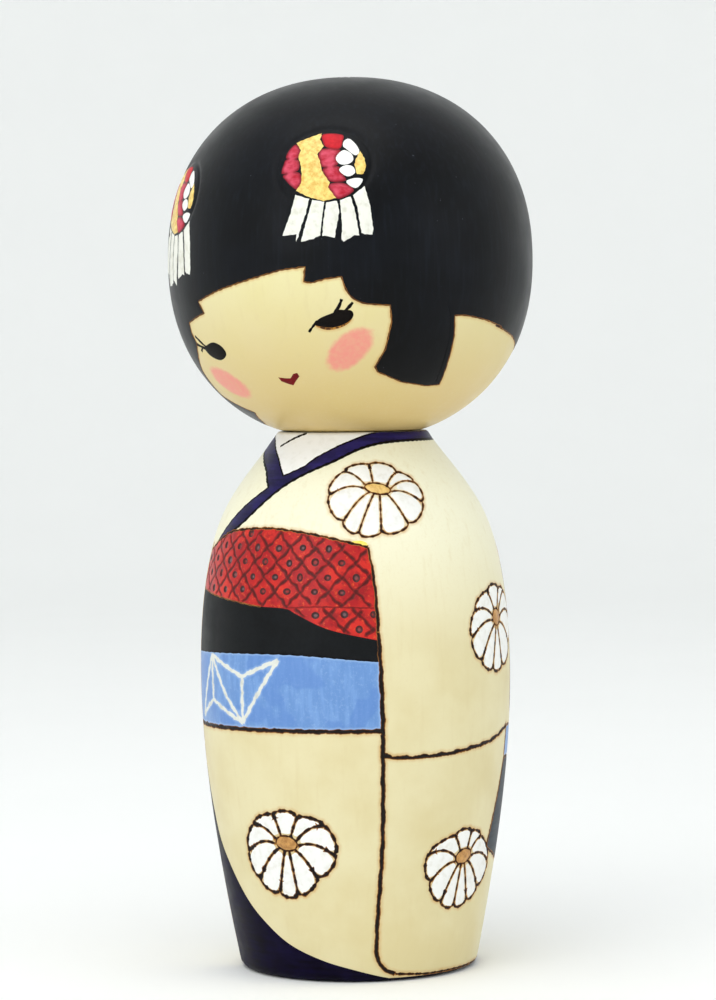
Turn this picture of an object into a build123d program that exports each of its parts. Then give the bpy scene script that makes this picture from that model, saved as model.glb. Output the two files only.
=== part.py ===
"""Kokeshi doll, six sun tall: a lathe-turned body and head joined by a wooden neck dowel.

The body is a solid barrel that stands on a narrow rim. The dowel is glued into its top. The head is a
rounded ball with a flat seat, and turns on the upper half of the dowel. The doll faces -Y, the base rests
on Z = 0, and the lathe axis is Z. All sizes are in millimetres.
"""

import os
from math import asin, cos, degrees, radians, sin, tan

from build123d import *

# ---------------------------------------------------------------- driving dimensions
SUN = 30.3  # the Japanese inch that kokeshi are sold by
HEIGHT = 6 * SUN
NECK_HEIGHT = 109.7  # where the head sits on the body

# Head: a superellipse turned about Z, cut flat at the neck.
HEAD_RADIUS = 37.3
HEAD_HALF_HEIGHT = 37.1
HEAD_SQUARENESS = 2.2  # 2 would be a plain ellipse
HEAD_EDGE = 0.4  # rounding of the edge round the flat seat

# Body: radii at heights above the base, from the rim of the foot to the neck.
FOOT_RADIUS = 24.1
FOOT_FLARE = 0.21  # how fast the radius grows with height where the side leaves the base
SHIN_RADIUS = 28.5
SHIN_HEIGHT = 24.0
BELLY_RADIUS = 31.7
BELLY_HEIGHT = 65.0
CHEST_RADIUS = 29.4
CHEST_HEIGHT = 85.0
SHOULDER_RADIUS = 26.4
SHOULDER_HEIGHT = 93.8
NECK_RADIUS = 15.2
NECK_TAPER = 0.66  # how fast the radius shrinks with height at the neck
FOOT_ROUNDING = 2.0
NECK_EDGE = 0.4
DISH_RADIUS = 17.5  # the base is turned hollow inside this radius
DISH_DEPTH = 0.8
CENTRE_MARK_RADIUS = 1.5  # a cone left by the lathe's tail centre
CENTRE_MARK_DEPTH = 1.5

# Neck dowel and the two blind holes that it joins.
DOWEL_RADIUS = 5.0
DOWEL_LENGTH = 40.0
DOWEL_CHAMFER = 1.0
GLUE_FILM = 0.05  # radial room round the glued half
TURNING_CLEARANCE = 0.08  # radial room round the half that the head turns on
HOLE_END_ROOM = 1.0  # free depth past each end of the dowel
HOLE_MOUTH_CHAMFER = 0.5
HOLE_MOUTH_ANGLE = 90.0
DRILL_POINT_ANGLE = 118.0
GLUE_GROOVE_WIDTH = 1.2
GLUE_GROOVE_DEPTH = 0.6
GLUE_GROOVES = 2
SEAT_GAP = 0.1  # between the head's seat and the body's top

# ---------------------------------------------------------------- places worked out from them
HEAD_CENTRE = HEIGHT - HEAD_HALF_HEIGHT
HEAD_SEAT = NECK_HEIGHT + SEAT_GAP
HALF_DOWEL = DOWEL_LENGTH / 2
HOLE_DEPTH = HALF_DOWEL + HOLE_END_ROOM
DRILL_POINT = 1 / tan(radians(DRILL_POINT_ANGLE / 2))  # cone height per unit of radius
SEAT_DROP = (HEAD_CENTRE - HEAD_SEAT) / HEAD_HALF_HEIGHT
SEAT_TURN = -degrees(asin(SEAT_DROP ** (HEAD_SQUARENESS / 2)))  # where the outline meets the seat
OUTLINE_SPANS = 14  # of the head's spline


def superellipse(turn):
    """The head's outline (radius, height) at turn degrees above its widest circle."""
    across, up = cos(radians(turn)), sin(radians(turn))
    power = 2 / HEAD_SQUARENESS
    lift = abs(up) ** power * (1 if up >= 0 else -1)
    return HEAD_RADIUS * abs(across) ** power, HEAD_CENTRE + HEAD_HALF_HEIGHT * lift


def export(part, name):
    """Labels a finished part and writes it as parts/name.step."""
    part.label = name
    export_step(part, f"parts/{name}.step")


os.makedirs("parts", exist_ok=True)

# ---------------------------------------------------------------- body
with BuildPart() as body:
    with BuildSketch(Plane.XZ):
        with BuildLine():
            side = Spline(
                (FOOT_RADIUS, 0),
                (SHIN_RADIUS, SHIN_HEIGHT),
                (BELLY_RADIUS, BELLY_HEIGHT),
                (CHEST_RADIUS, CHEST_HEIGHT),
                (SHOULDER_RADIUS, SHOULDER_HEIGHT),
                (NECK_RADIUS, NECK_HEIGHT),
                tangents=((FOOT_FLARE, 1), (-NECK_TAPER, 1)),
            )
            top = Line(side @ 1, (0, NECK_HEIGHT))
            middle = Line(top @ 1, (0, DISH_DEPTH + CENTRE_MARK_DEPTH))
            mark = Line(middle @ 1, (CENTRE_MARK_RADIUS, DISH_DEPTH))
            dish = TangentArc(mark @ 1, (DISH_RADIUS, 0), tangent=(1, 0))
            Line(dish @ 1, side @ 0)
        make_face()
    revolve(axis=Axis.Z)
    base_rings = body.edges().filter_by(GeomType.CIRCLE).group_by(Axis.Z)[0]
    fillet(base_rings.sort_by(SortBy.RADIUS)[-1], FOOT_ROUNDING)
    fillet(body.edges().filter_by(GeomType.CIRCLE).group_by(Axis.Z)[-1], NECK_EDGE)
    with Locations((0, 0, NECK_HEIGHT)):
        CounterSinkHole(
            radius=DOWEL_RADIUS + GLUE_FILM,
            counter_sink_radius=DOWEL_RADIUS + GLUE_FILM + HOLE_MOUTH_CHAMFER,
            depth=HOLE_DEPTH,
            counter_sink_angle=HOLE_MOUTH_ANGLE,
        )
    with Locations((0, 0, NECK_HEIGHT - HOLE_DEPTH)):
        Cone(
            bottom_radius=0,
            top_radius=DOWEL_RADIUS + GLUE_FILM,
            height=(DOWEL_RADIUS + GLUE_FILM) * DRILL_POINT,
            align=(Align.CENTER, Align.CENTER, Align.MAX),
            mode=Mode.SUBTRACT,
        )
export(body.part, "body")

# ---------------------------------------------------------------- neck dowel
with BuildPart() as dowel:
    with Locations((0, 0, NECK_HEIGHT)):
        Cylinder(DOWEL_RADIUS, DOWEL_LENGTH)
    chamfer(dowel.edges().filter_by(GeomType.CIRCLE), DOWEL_CHAMFER)
    # Grooves along the glued half let the air and the spare glue out of the blind hole.
    with BuildSketch(Plane.XY.offset(NECK_HEIGHT - HALF_DOWEL)):
        with PolarLocations(DOWEL_RADIUS, GLUE_GROOVES):
            Rectangle(2 * GLUE_GROOVE_DEPTH, GLUE_GROOVE_WIDTH)
    extrude(amount=HALF_DOWEL, mode=Mode.SUBTRACT)
export(dowel.part, "neck_dowel")

# ---------------------------------------------------------------- head
with BuildPart() as head:
    with BuildSketch(Plane.XZ):
        with BuildLine():
            step = (90 - SEAT_TURN) / OUTLINE_SPANS
            turns = [SEAT_TURN + step * i for i in range(OUTLINE_SPANS)]
            outline = Spline(*[superellipse(turn) for turn in turns], (0, HEIGHT))
            middle = Line(outline @ 1, (0, HEAD_SEAT))
            Line(middle @ 1, outline @ 0)
        make_face()
    revolve(axis=Axis.Z)
    fillet(head.faces().sort_by(Axis.Z)[0].edges(), HEAD_EDGE)
    with Locations(Plane(origin=(0, 0, HEAD_SEAT), z_dir=(0, 0, -1))):
        CounterSinkHole(
            radius=DOWEL_RADIUS + TURNING_CLEARANCE,
            counter_sink_radius=DOWEL_RADIUS + TURNING_CLEARANCE + HOLE_MOUTH_CHAMFER,
            depth=HOLE_DEPTH,
            counter_sink_angle=HOLE_MOUTH_ANGLE,
        )
    with Locations((0, 0, HEAD_SEAT + HOLE_DEPTH)):
        Cone(
            bottom_radius=DOWEL_RADIUS + TURNING_CLEARANCE,
            top_radius=0,
            height=(DOWEL_RADIUS + TURNING_CLEARANCE) * DRILL_POINT,
            align=(Align.CENTER, Align.CENTER, Align.MIN),
            mode=Mode.SUBTRACT,
        )
export(head.part, "head")
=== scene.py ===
"""Looks of a lathe-turned kokeshi doll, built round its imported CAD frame.

The outside of the head and of the body is one turned surface each. Every painted or burnt shape is drawn as
an outline on that surface, and the surface is divided into triangles along all the outlines at once, so
each shape's edge is real geometry. The wood is one closed piece with the burnt lines sunk into it, and every
colour is a thin closed film on it, a piece of its own. Lengths are in millimetres until a mesh is made.
Azimuths are in degrees from the doll's front (-Y), positive towards the doll's left (+X).
"""

from math import cos, hypot, pi, radians, sin, tan

import bpy
import numpy as np
from mathutils import Matrix, Vector
from mathutils.geometry import delaunay_2d_cdt
from mathutils.kdtree import KDTree


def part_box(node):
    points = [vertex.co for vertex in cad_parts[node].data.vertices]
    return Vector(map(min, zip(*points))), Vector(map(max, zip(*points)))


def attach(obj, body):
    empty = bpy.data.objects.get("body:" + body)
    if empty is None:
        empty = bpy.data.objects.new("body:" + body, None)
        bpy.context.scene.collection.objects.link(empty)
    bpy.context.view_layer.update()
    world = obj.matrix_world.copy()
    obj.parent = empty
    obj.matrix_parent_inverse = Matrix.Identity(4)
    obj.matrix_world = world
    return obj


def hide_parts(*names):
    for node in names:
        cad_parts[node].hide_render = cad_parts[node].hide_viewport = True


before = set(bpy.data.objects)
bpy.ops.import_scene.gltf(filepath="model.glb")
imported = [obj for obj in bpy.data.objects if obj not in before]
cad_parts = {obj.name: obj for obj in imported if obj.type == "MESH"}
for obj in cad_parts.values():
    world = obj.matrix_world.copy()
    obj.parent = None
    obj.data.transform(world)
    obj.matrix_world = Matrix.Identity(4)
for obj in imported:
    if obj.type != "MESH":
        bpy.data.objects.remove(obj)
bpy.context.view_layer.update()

MM = 0.001

# ---------------------------------------------------------------- sizes that the frame gives
HEAD_LOW, HEAD_HIGH = (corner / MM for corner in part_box("head"))
DOWEL_LOW, DOWEL_HIGH = (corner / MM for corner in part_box("neck_dowel"))
BODY_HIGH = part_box("body")[1] / MM
NECK = BODY_HIGH.z
HEAD_RADIUS = (HEAD_HIGH.x - HEAD_LOW.x) / 2
DOWEL_RADIUS = (DOWEL_HIGH.x - DOWEL_LOW.x) / 2

# ---------------------------------------------------------------- the turned shapes
HEAD_HALF_HEIGHT = 37.1
HEAD_SQUARENESS = 2.2  # the power of the head's superellipse: 2 would be an ellipse
HEAD_CENTRE = HEAD_HIGH.z - HEAD_HALF_HEIGHT
SEAT_EDGE = 0.4
BORE = DOWEL_RADIUS + 0.06
HOLE_MOUTH = 0.5
HOLE_END_ROOM = 1.0
DRILL_POINT = tan(radians(31))
DISH_RADIUS = 17.5
DISH_DEPTH = 0.8
CENTRE_MARK = 1.5
FOOT_HEIGHT = 3.0
DISH_REACH = DISH_RADIUS + 1.5  # in the foot, what lies within this radius belongs to the dish
HOLE_REACH = NECK / 8.5  # above the foot, what lies within this radius belongs to the dowel's hole
BODY_MIDDLE = 120.0  # so the body's chart is cut at azimuth -60, where only level lines cross the cut
BODY_REFERENCE = 30.0
SEAM = BODY_MIDDLE - 180
SEAM_BEYOND = SEAM + 360
FRONT, BACK = -1, 180  # the middle of the sash and of the bow

# ---------------------------------------------------------------- how finely the surface is divided
OUTLINE_STEP = 0.32
AREA_STEP = 0.5  # between the points of a filled outline
PLAIN_STEP = 1.25  # between the points of the plain wood, and then of the painted shapes
BROAD_STEP = 0.9
PAINT_STEP = 0.7
FINE_STEP = 0.42
DOT_STEP = 0.3
SEAM_COUNT = 240
CHART_MARGIN = 0.2  # free points keep this far from the chart's edges
JOIN_DISTANCE = 0.004  # points nearer to each other than this become one
ON_LEVEL = 0.004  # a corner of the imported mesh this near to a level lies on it
ON_EDGE = 1e-3  # a chart point this near to the chart's edge lies on it
HALO = (-1.3, -0.6, 0.6, 1.3)  # where points are added beside a burnt line for its scorch, from its edges
WIDE_LINE = 0.8  # a line wider than this has points on both sides of its middle as well
MIDDLE_GAP = 0.07  # how near to an outline the points of a line's middle may come
SIDE_GAP = 0.09
HALO_GAP = 0.3
FILM_ROOT = 0.05  # how far a film of paint reaches into the wood


# ================================================================ curves
def smooth(points, step=OUTLINE_STEP, closed=False):
    """A smooth curve through the points, sampled about every step."""
    p = np.array(points, float)
    if closed:
        p = np.vstack([p[-1], p, p[0], p[1]])
    else:
        p = np.vstack([2 * p[0] - p[1], p, 2 * p[-1] - p[-2]])
    made = []
    for a, b, c, d in zip(p[:-3], p[1:-2], p[2:-1], p[3:], strict=True):
        t = np.linspace(0, 1, max(2, int(np.linalg.norm(c - b) / step)), endpoint=False)[:, None]
        start = (2 * t**3 - 3 * t**2 + 1) * b + (t**3 - 2 * t**2 + t) * (c - a) / 2
        made.append(start + (-2 * t**3 + 3 * t**2) * c + (t**3 - t**2) * (d - b) / 2)
    if not closed:
        made.append(p[-2][None])
    return np.vstack(made)


def straight(points, step=OUTLINE_STEP):
    """The straight runs between the points, sampled about every step."""
    p = np.array(points, float)
    made = []
    for a, b in zip(p[:-1], p[1:], strict=True):
        count = max(1, int(np.linalg.norm(b - a) / step))
        made.append(a + (b - a) * np.linspace(0, 1, count, endpoint=False)[:, None])
    return np.vstack([*made, p[-1][None]])


def ring(half_width, half_height, lean=0.0, step=OUTLINE_STEP):
    """An ellipse round the origin, leaning by some degrees."""
    turn = np.linspace(0, 2 * pi, max(10, int(pi * (half_width + half_height) / step)), endpoint=False)
    x, y = half_width * np.cos(turn), half_height * np.sin(turn)
    c, s = cos(radians(lean)), sin(radians(lean))
    return np.stack([c * x - s * y, s * x + c * y], 1)


def looped(points):
    """The points with the first one again at the end."""
    return np.vstack([points, points[:1]])


def length_along(points):
    """How far along the line each point is."""
    return np.concatenate([[0.0], np.cumsum(np.hypot(*np.diff(points, axis=0).T))])


def waver(lengths, seed, wave):
    """A smooth unevenness between about -1 and 1 along a line, as a hand gives it."""
    draws = np.random.default_rng(seed)
    total = np.zeros(len(lengths))
    for share, shorter in ((0.55, 1.0), (0.3, 0.47), (0.25, 0.21)):
        total += share * np.sin(lengths * 2 * pi / (wave * shorter) + draws.uniform(0, 2 * pi))
    return total


def unit(vectors, spare=0.0):
    """The vectors at length 1. A little spare length keeps vectors of no length from a division by zero."""
    return vectors / (np.linalg.norm(vectors, axis=1)[:, None] + spare)


def sideways(points, scale=1.0):
    """The direction across a line at each of its points, on a surface scale times as wide as its chart."""
    ahead = np.gradient(points, axis=0)
    ahead[:, 0] *= scale
    ahead = unit(ahead, 1e-9)
    return np.stack([-ahead[:, 1] / scale, ahead[:, 0]], 1)


def shaky(points, size, seed, wave=2.5):
    """The points moved sideways by up to about size, with the ends left in place."""
    lengths = length_along(points)
    calm = np.clip(np.minimum(lengths, lengths[-1] - lengths) / 0.8, 0, 1)
    return points + sideways(points) * (waver(lengths, seed, wave) * size * calm)[:, None]


def inside(points, outline):
    """Which points lie inside the outline."""
    x, y = points[:, 0], points[:, 1]
    found = np.zeros(len(points), bool)
    for (ax, ay), (bx, by) in zip(outline, np.roll(outline, -1, axis=0), strict=True):
        if ay != by:
            found ^= ((ay > y) != (by > y)) & (x < (bx - ax) * (y - ay) / (by - ay) + ax)
    return found


def doubled_area(outline):
    x, y = outline[:, 0], outline[:, 1]
    return (x * np.roll(y, -1) - np.roll(x, -1) * y).sum()


def is_sliver(outline):
    """Whether an outline is too thin to be divided along."""
    longest = np.linalg.norm(outline - np.roll(outline, -1, axis=0), axis=1).max()
    return abs(doubled_area(outline)) < 0.02 * longest


# ================================================================ turned surfaces
class Turned:
    """The outside of a turned part, from its lowest ring up. A chart lays it flat: chart x is the way round,
    in mm at the reference radius, and chart y is the way up along the outline, in mm."""

    def __init__(self, radii, heights, reference, middle):
        self.r, self.z = np.array(radii, float), np.array(heights, float)
        self.y = np.concatenate([[0.0], np.cumsum(np.hypot(np.diff(self.r), np.diff(self.z)))])
        self.reference, self.middle = reference, middle
        self.per_degree = reference * pi / 180
        self.half = 180 * self.per_degree
        self.top = self.y[-1]
        slope_r, slope_z = np.gradient(self.r, self.y), np.gradient(self.z, self.y)
        size = np.hypot(slope_r, slope_z)
        self.out, self.up = slope_z / size, -slope_r / size

    def radius(self, y):
        return np.interp(y, self.y, self.r)

    def chart(self, points):
        """Chart points from (azimuth, height)."""
        p = np.array(points, float).reshape(-1, 2)
        x = (p[:, 0] - self.middle) * self.per_degree
        if x.max() < -self.half - 1e-6:
            x += 2 * self.half
        return np.stack([x, np.interp(p[:, 1], self.z, self.y)], 1)

    def near(self, azimuth, height, points):
        """Chart points from (right, up) in mm along the surface, round a place on it."""
        p = np.array(points, float).reshape(-1, 2)
        middle = self.chart([(azimuth, height)])[0]
        y = middle[1] + p[:, 1]
        wide = (self.radius(y) + self.radius(middle[1])) / 2
        return np.stack([middle[0] + p[:, 0] * self.reference / wide, y], 1)

    def place(self, chart, lift=0.0):
        """Points in space from chart points, lifted off the surface but not past its end rings."""
        turn = np.radians(chart[:, 0] / self.per_degree + self.middle)
        y = chart[:, 1]
        r = np.maximum(np.interp(y, self.y, self.r) + lift * np.interp(y, self.y, self.out), 0)
        z = np.interp(y, self.y, self.z) + lift * np.interp(y, self.y, self.up)
        return np.stack([r * np.sin(turn), -r * np.cos(turn), np.clip(z, self.z[0], self.z[-1])], 1)

    def normals(self, chart):
        turn = np.radians(chart[:, 0] / self.per_degree + self.middle)
        out, up = np.interp(chart[:, 1], self.y, self.out), np.interp(chart[:, 1], self.y, self.up)
        return np.stack([out * np.sin(turn), -out * np.cos(turn), up], 1)

    def cut_at_seam(self, line):
        """A line of chart points that passes the chart's left edge, as two lines that end on its edges."""
        over = line[:, 0] < -self.half
        level = np.interp(-self.half, *line[np.argsort(line[:, 0])].T)
        kept = np.vstack([line[~over], (-self.half, level)])
        moved = np.vstack([(-self.half, level), line[over]]) + (2 * self.half, 0)
        return (kept, moved) if not over[0] else (kept[::-1], moved[::-1])


def body_surface():
    """The body's side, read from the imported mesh: its radius at heights from the base to the neck."""
    corners = np.array([v.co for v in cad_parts["body"].data.vertices]) / MM
    radii, heights = np.hypot(corners[:, 0], corners[:, 1]), corners[:, 2]
    outside = radii > np.where(heights < FOOT_HEIGHT, DISH_REACH, HOLE_REACH)
    # close together in the roundings at the foot and at the neck, and wider apart between them
    levels = np.concatenate([
        np.arange(0.02, 2.6, 0.24), np.arange(2.8, NECK - 1, 0.8), np.arange(NECK - 0.6, NECK - 0.01, 0.12),
    ])
    profile = [(radii[outside & (heights < ON_LEVEL)].max(), 0.0)]
    for low, high in zip(levels[:-1], levels[1:], strict=True):
        held = outside & (heights > low) & (heights <= high)
        if held.sum() >= 3:
            profile.append((radii[held].mean(), heights[held].mean()))
    profile.append((radii[outside & (heights > NECK - ON_LEVEL)].max(), NECK))
    curve = smooth(profile, 0.12)
    return Turned(curve[:, 0], np.maximum.accumulate(curve[:, 1]), BODY_REFERENCE, BODY_MIDDLE)


def head_surface():
    """The head's ball from its seat to its top: a superellipse turned about Z."""
    seat = HEAD_LOW.z
    drop = (HEAD_CENTRE - seat) / HEAD_HALF_HEIGHT
    lowest = -np.arcsin(drop ** (HEAD_SQUARENESS / 2)) + SEAT_EDGE / HEAD_RADIUS / 2
    turns = np.linspace(lowest, pi / 2, 900)
    power = 2 / HEAD_SQUARENESS
    r = HEAD_RADIUS * np.abs(np.cos(turns)) ** power
    z = HEAD_CENTRE + HEAD_HALF_HEIGHT * np.sign(np.sin(turns)) * np.abs(np.sin(turns)) ** power
    return Turned(np.insert(r, 0, r[0] - SEAT_EDGE), np.insert(z, 0, seat), HEAD_RADIUS, 0.0)


BODY = body_surface()
HEAD = head_surface()

# The face is painted round an axis of its own: turned a little to the doll's left, and leaning to its right.
FACE_TURN = 2.4
FACE_LEAN = 11.7
turned, leaned = radians(FACE_TURN), radians(FACE_LEAN)
FACE_OUT = np.array([sin(turned), -cos(turned), 0.0])
FACE_RIGHT = np.array([cos(turned) * cos(leaned), sin(turned) * cos(leaned), sin(leaned)])
FACE_UP = np.cross(FACE_OUT, FACE_RIGHT)
HEAD_TURNS = np.arctan2(HEAD.z - HEAD_CENTRE, HEAD.r)


def head_chart(ways):
    """Chart points on the head from directions out of its centre."""
    turn = np.arctan2(ways[:, 2], np.hypot(ways[:, 0], ways[:, 1]))
    azimuth = np.degrees(np.arctan2(ways[:, 0], -ways[:, 1]))
    return np.stack([azimuth * HEAD.per_degree, np.interp(turn, HEAD_TURNS, HEAD.y)], 1)


def face(points):
    """Chart points on the head from (right, up) in mm from the middle of the face, as on a globe's map."""
    p = np.array(points, float).reshape(-1, 2)
    size = np.maximum(np.hypot(p[:, 0], p[:, 1]), 1e-9)
    angle = (size / HEAD_RADIUS)[:, None]
    aside = p[:, :1] / size[:, None] * FACE_RIGHT + p[:, 1:] / size[:, None] * FACE_UP
    return head_chart(np.cos(angle) * FACE_OUT + np.sin(angle) * aside)


def globe(points):
    """Chart points on the head from (longitude, latitude) in degrees, counted from the middle of the face."""
    lon, lat = np.radians(np.array(points, float).reshape(-1, 2)).T[:, :, None]
    level = np.cos(lon) * FACE_OUT + np.sin(lon) * FACE_RIGHT
    return head_chart(np.cos(lat) * level + np.sin(lat) * FACE_UP)


def face_places(points):
    """(right, up) in mm from the middle of the face from points in space: the other way round from face()."""
    ways = unit(points - np.array([0, 0, HEAD_CENTRE]))
    angle = np.arccos(np.clip(ways @ FACE_OUT, -1, 1))
    scale = HEAD_RADIUS * angle / np.maximum(np.sin(angle), 1e-6)
    return np.stack([scale * (ways @ FACE_RIGHT), scale * (ways @ FACE_UP)], 1)


# ================================================================ shapes on a surface
def tree_of(points):
    """A search tree of points in the chart or in space."""
    tree = KDTree(len(points))
    for number, p in enumerate(points):
        tree.insert((p[0], p[1], p[2] if len(p) == 3 else 0.0), number)
    tree.balance()
    return tree


def apart(points, tree, gap):
    """The points that are further than gap from everything in the tree."""
    return np.array([p for p in points if tree.find((p[0], p[1], 0.0))[2] > gap]).reshape(-1, 2)


class Shapes:
    """The outlines on one turned surface. A later shape lies over an earlier one."""

    def __init__(self, turned):
        self.turned = turned
        self.faces = []
        self.extra = []  # (points, least gap to an outline): more points that the surface passes through

    def area(self, label, outline, step=None):
        """A filled outline in chart points, with points inside it every step."""
        outline = straight(looped(np.asarray(outline, float)), AREA_STEP)[:-1]
        self.faces.append((label, outline))
        if step:
            low, high = outline.min(0), outline.max(0)
            wide = step * self.turned.reference / self.turned.radius((low[1] + high[1]) / 2)
            rows = np.arange(low[1] + step / 2, high[1], step)
            columns = np.arange(low[0], high[0], wide)
            points = [(x + wide * (0.25 + 0.5 * (n % 2)), y) for n, y in enumerate(rows) for x in columns]
            if points:
                points = np.array(points)
                self.extra.append((points[inside(points, outline)], 0.55 * step))

    def line(self, label, points, width, uneven, seed, halo=False, blobs=0.0, wave=2.4):
        """A line of that width in mm along chart points. The width is uneven over each wave mm and grows by
        blobs at the ends. A halo adds points beside the line."""
        p = np.asarray(points, float)
        lengths = length_along(p)
        half = np.array(width) / 2 * (1 + uneven * waver(lengths, seed, wave))
        half *= 1 + blobs * np.exp(-np.minimum(lengths, lengths[-1] - lengths) / 0.5)
        side = sideways(p, self.turned.radius(p[:, 1]) / self.turned.reference)
        for end in (0, -1):
            if abs(abs(p[end, 0]) - self.turned.half) < 1e-6:
                side[end] = (0.0, np.sign(side[end, 1]))
        left, right = p + side * half[:, None], p - side * half[:, None]
        for n in range(len(p) - 1):
            first = np.array([left[n], right[n], right[n + 1]])
            second = np.array([left[n], right[n + 1], left[n + 1]])
            parts = [part for part in (first, second) if not is_sliver(part)]
            if len(parts) == 2 and doubled_area(first) * doubled_area(second) > 0:
                parts = [np.array([left[n], right[n], right[n + 1], left[n + 1]])]
            self.faces += [(label, part) for part in parts]
        self.extra.append((p, MIDDLE_GAP))
        if np.max(width) > WIDE_LINE:
            for share in (-0.5, 0.5):
                self.extra.append((p + side * (half * share)[:, None], SIDE_GAP))
        if halo:
            for reach in HALO:
                beside = p + side * (np.sign(reach) * half + reach)[:, None]
                self.extra.append((beside[:: 1 if abs(reach) < 1 else 2], HALO_GAP))

    def divide(self):
        """Divides the chart along every outline. Gives the chart points, the triangles and their labels."""
        half, top = self.turned.half, self.turned.top
        outlines = [outline for _, outline in self.faces]
        drawn = np.vstack(outlines)
        on_seam = np.abs(np.abs(drawn[:, 0]) - half) < 1e-4
        levels = np.concatenate([np.linspace(0, top, SEAM_COUNT), drawn[on_seam, 1]])
        across = np.linspace(-half, half, SEAM_COUNT)[1:-1]
        edges = [np.stack([np.full(len(levels), side), levels], 1) for side in (-half, half)]
        edges += [np.stack([across, np.full(len(across), y)], 1) for y in (0.0, top)]
        fixed = np.vstack(edges + outlines)
        fixed_tree = tree_of(fixed)
        extra = np.vstack([apart(points, fixed_tree, gap) for points, gap in self.extra])
        x, y = extra.T
        extra = extra[(np.abs(x) < half - CHART_MARGIN) & (y > CHART_MARGIN / 2) & (y < top)]
        points = np.vstack([fixed, extra])
        plain = apart(self.plain_rows(), tree_of(points), 0.5 * PLAIN_STEP)
        limits = [(-half, 0), (half, 0), (half, top), (-half, top)]
        points = np.vstack([limits, points, plain])
        polygons = [[0, 1, 2, 3]]
        start = len(limits) + sum(len(edge) for edge in edges)
        for outline in outlines:
            loop = list(range(start, start + len(outline)))
            polygons.append(loop if doubled_area(outline) > 0 else loop[::-1])
            start += len(outline)
        made = delaunay_2d_cdt([Vector(p) for p in points], [], polygons, 0, JOIN_DISTANCE, True)
        chart = np.array([(p.x, p.y) for p in made[0]])
        held = [(corners, owners) for corners, owners in zip(made[2], made[5], strict=True) if 0 in owners]
        triangles = np.array([corners for corners, _ in held])
        return chart, triangles, self.labels_of(chart, triangles, [owners for _, owners in held])

    def plain_rows(self):
        """The points of the plain surface, in rows one step apart, every other row moved by half a step."""
        turned = self.turned
        rows = []
        for number, y in enumerate(np.arange(PLAIN_STEP, turned.top - CHART_MARGIN, PLAIN_STEP)):
            count = max(8, int(2 * pi * turned.radius(y) / PLAIN_STEP))
            x = (np.arange(count) + 0.25 + 0.5 * (number % 2)) / count * 2 * turned.half - turned.half
            rows.append(np.stack([x, np.full(count, y)], 1))
        return np.vstack(rows)

    def labels_of(self, chart, triangles, owners_of):
        """The label of the topmost outline over each triangle. An outline that crosses itself may claim the
        whole chart, so one that covers far more than its own area counts for nothing."""
        a, b, c = (chart[triangles[:, n]] for n in range(3))
        areas = np.abs((b - a)[:, 0] * (c - a)[:, 1] - (b - a)[:, 1] * (c - a)[:, 0])
        covered = np.zeros(len(self.faces) + 1)
        for owners, area in zip(owners_of, areas, strict=True):
            covered[owners] += area
        sizes = [np.inf] + [abs(doubled_area(outline)) for _, outline in self.faces]
        sound = covered < 1.5 * np.array(sizes) + 0.5
        labels = [None] + [label for label, _ in self.faces]
        return [labels[max(owner for owner in owners if sound[owner])] for owners in owners_of]


class Layer:
    """How a colour or a burnt line lies on the wood, in mm: the groove under it and its shoulder, the film's
    thickness at its edge, how much more it swells, and over what distance from its edge."""

    def __init__(self, finish, groove=0.0, shoulder=0.3, film=0.02, swell=0.0, reach=0.5):
        self.finish, self.groove, self.shoulder = finish, groove, shoulder
        self.film, self.swell, self.reach = film, swell, reach

    def wood(self, edge):
        share = np.clip(edge / self.shoulder, 0, 1)
        return -self.groove * share * share * (3 - 2 * share)

    def top(self, edge):
        return self.wood(edge) + self.film + self.swell * (1 - np.exp(-((edge / self.reach) ** 2)))


def corner_normals(points, triangles):
    """Each point's normal from the triangles round it."""
    a, b, c = (points[triangles[:, n]] for n in range(3))
    across = np.cross(b - a, c - a)
    total = np.zeros_like(points)
    for corner in range(3):
        np.add.at(total, triangles[:, corner], across)
    return unit(total, 1e-15)


def add_piece(name, points, triangles, normals, finish, fields):
    """A mesh object from points in mm, normals of each triangle's corners, and fields of its points."""
    mesh = bpy.data.meshes.new(name)
    mesh.from_pydata((points * MM).tolist(), [], triangles.tolist())
    mesh.polygons.foreach_set("use_smooth", np.ones(len(triangles), bool))
    for field, values in fields.items():
        attribute = mesh.attributes.new(field, "FLOAT_VECTOR", "POINT")
        attribute.data.foreach_set("vector", values.astype(np.float32).reshape(-1))
    mesh.materials.append(finish)
    mesh.normals_split_custom_set(normals.reshape(-1, 3).astype(np.float32))
    piece = bpy.data.objects.new(name, mesh)
    bpy.context.scene.collection.objects.link(piece)
    return piece


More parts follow.
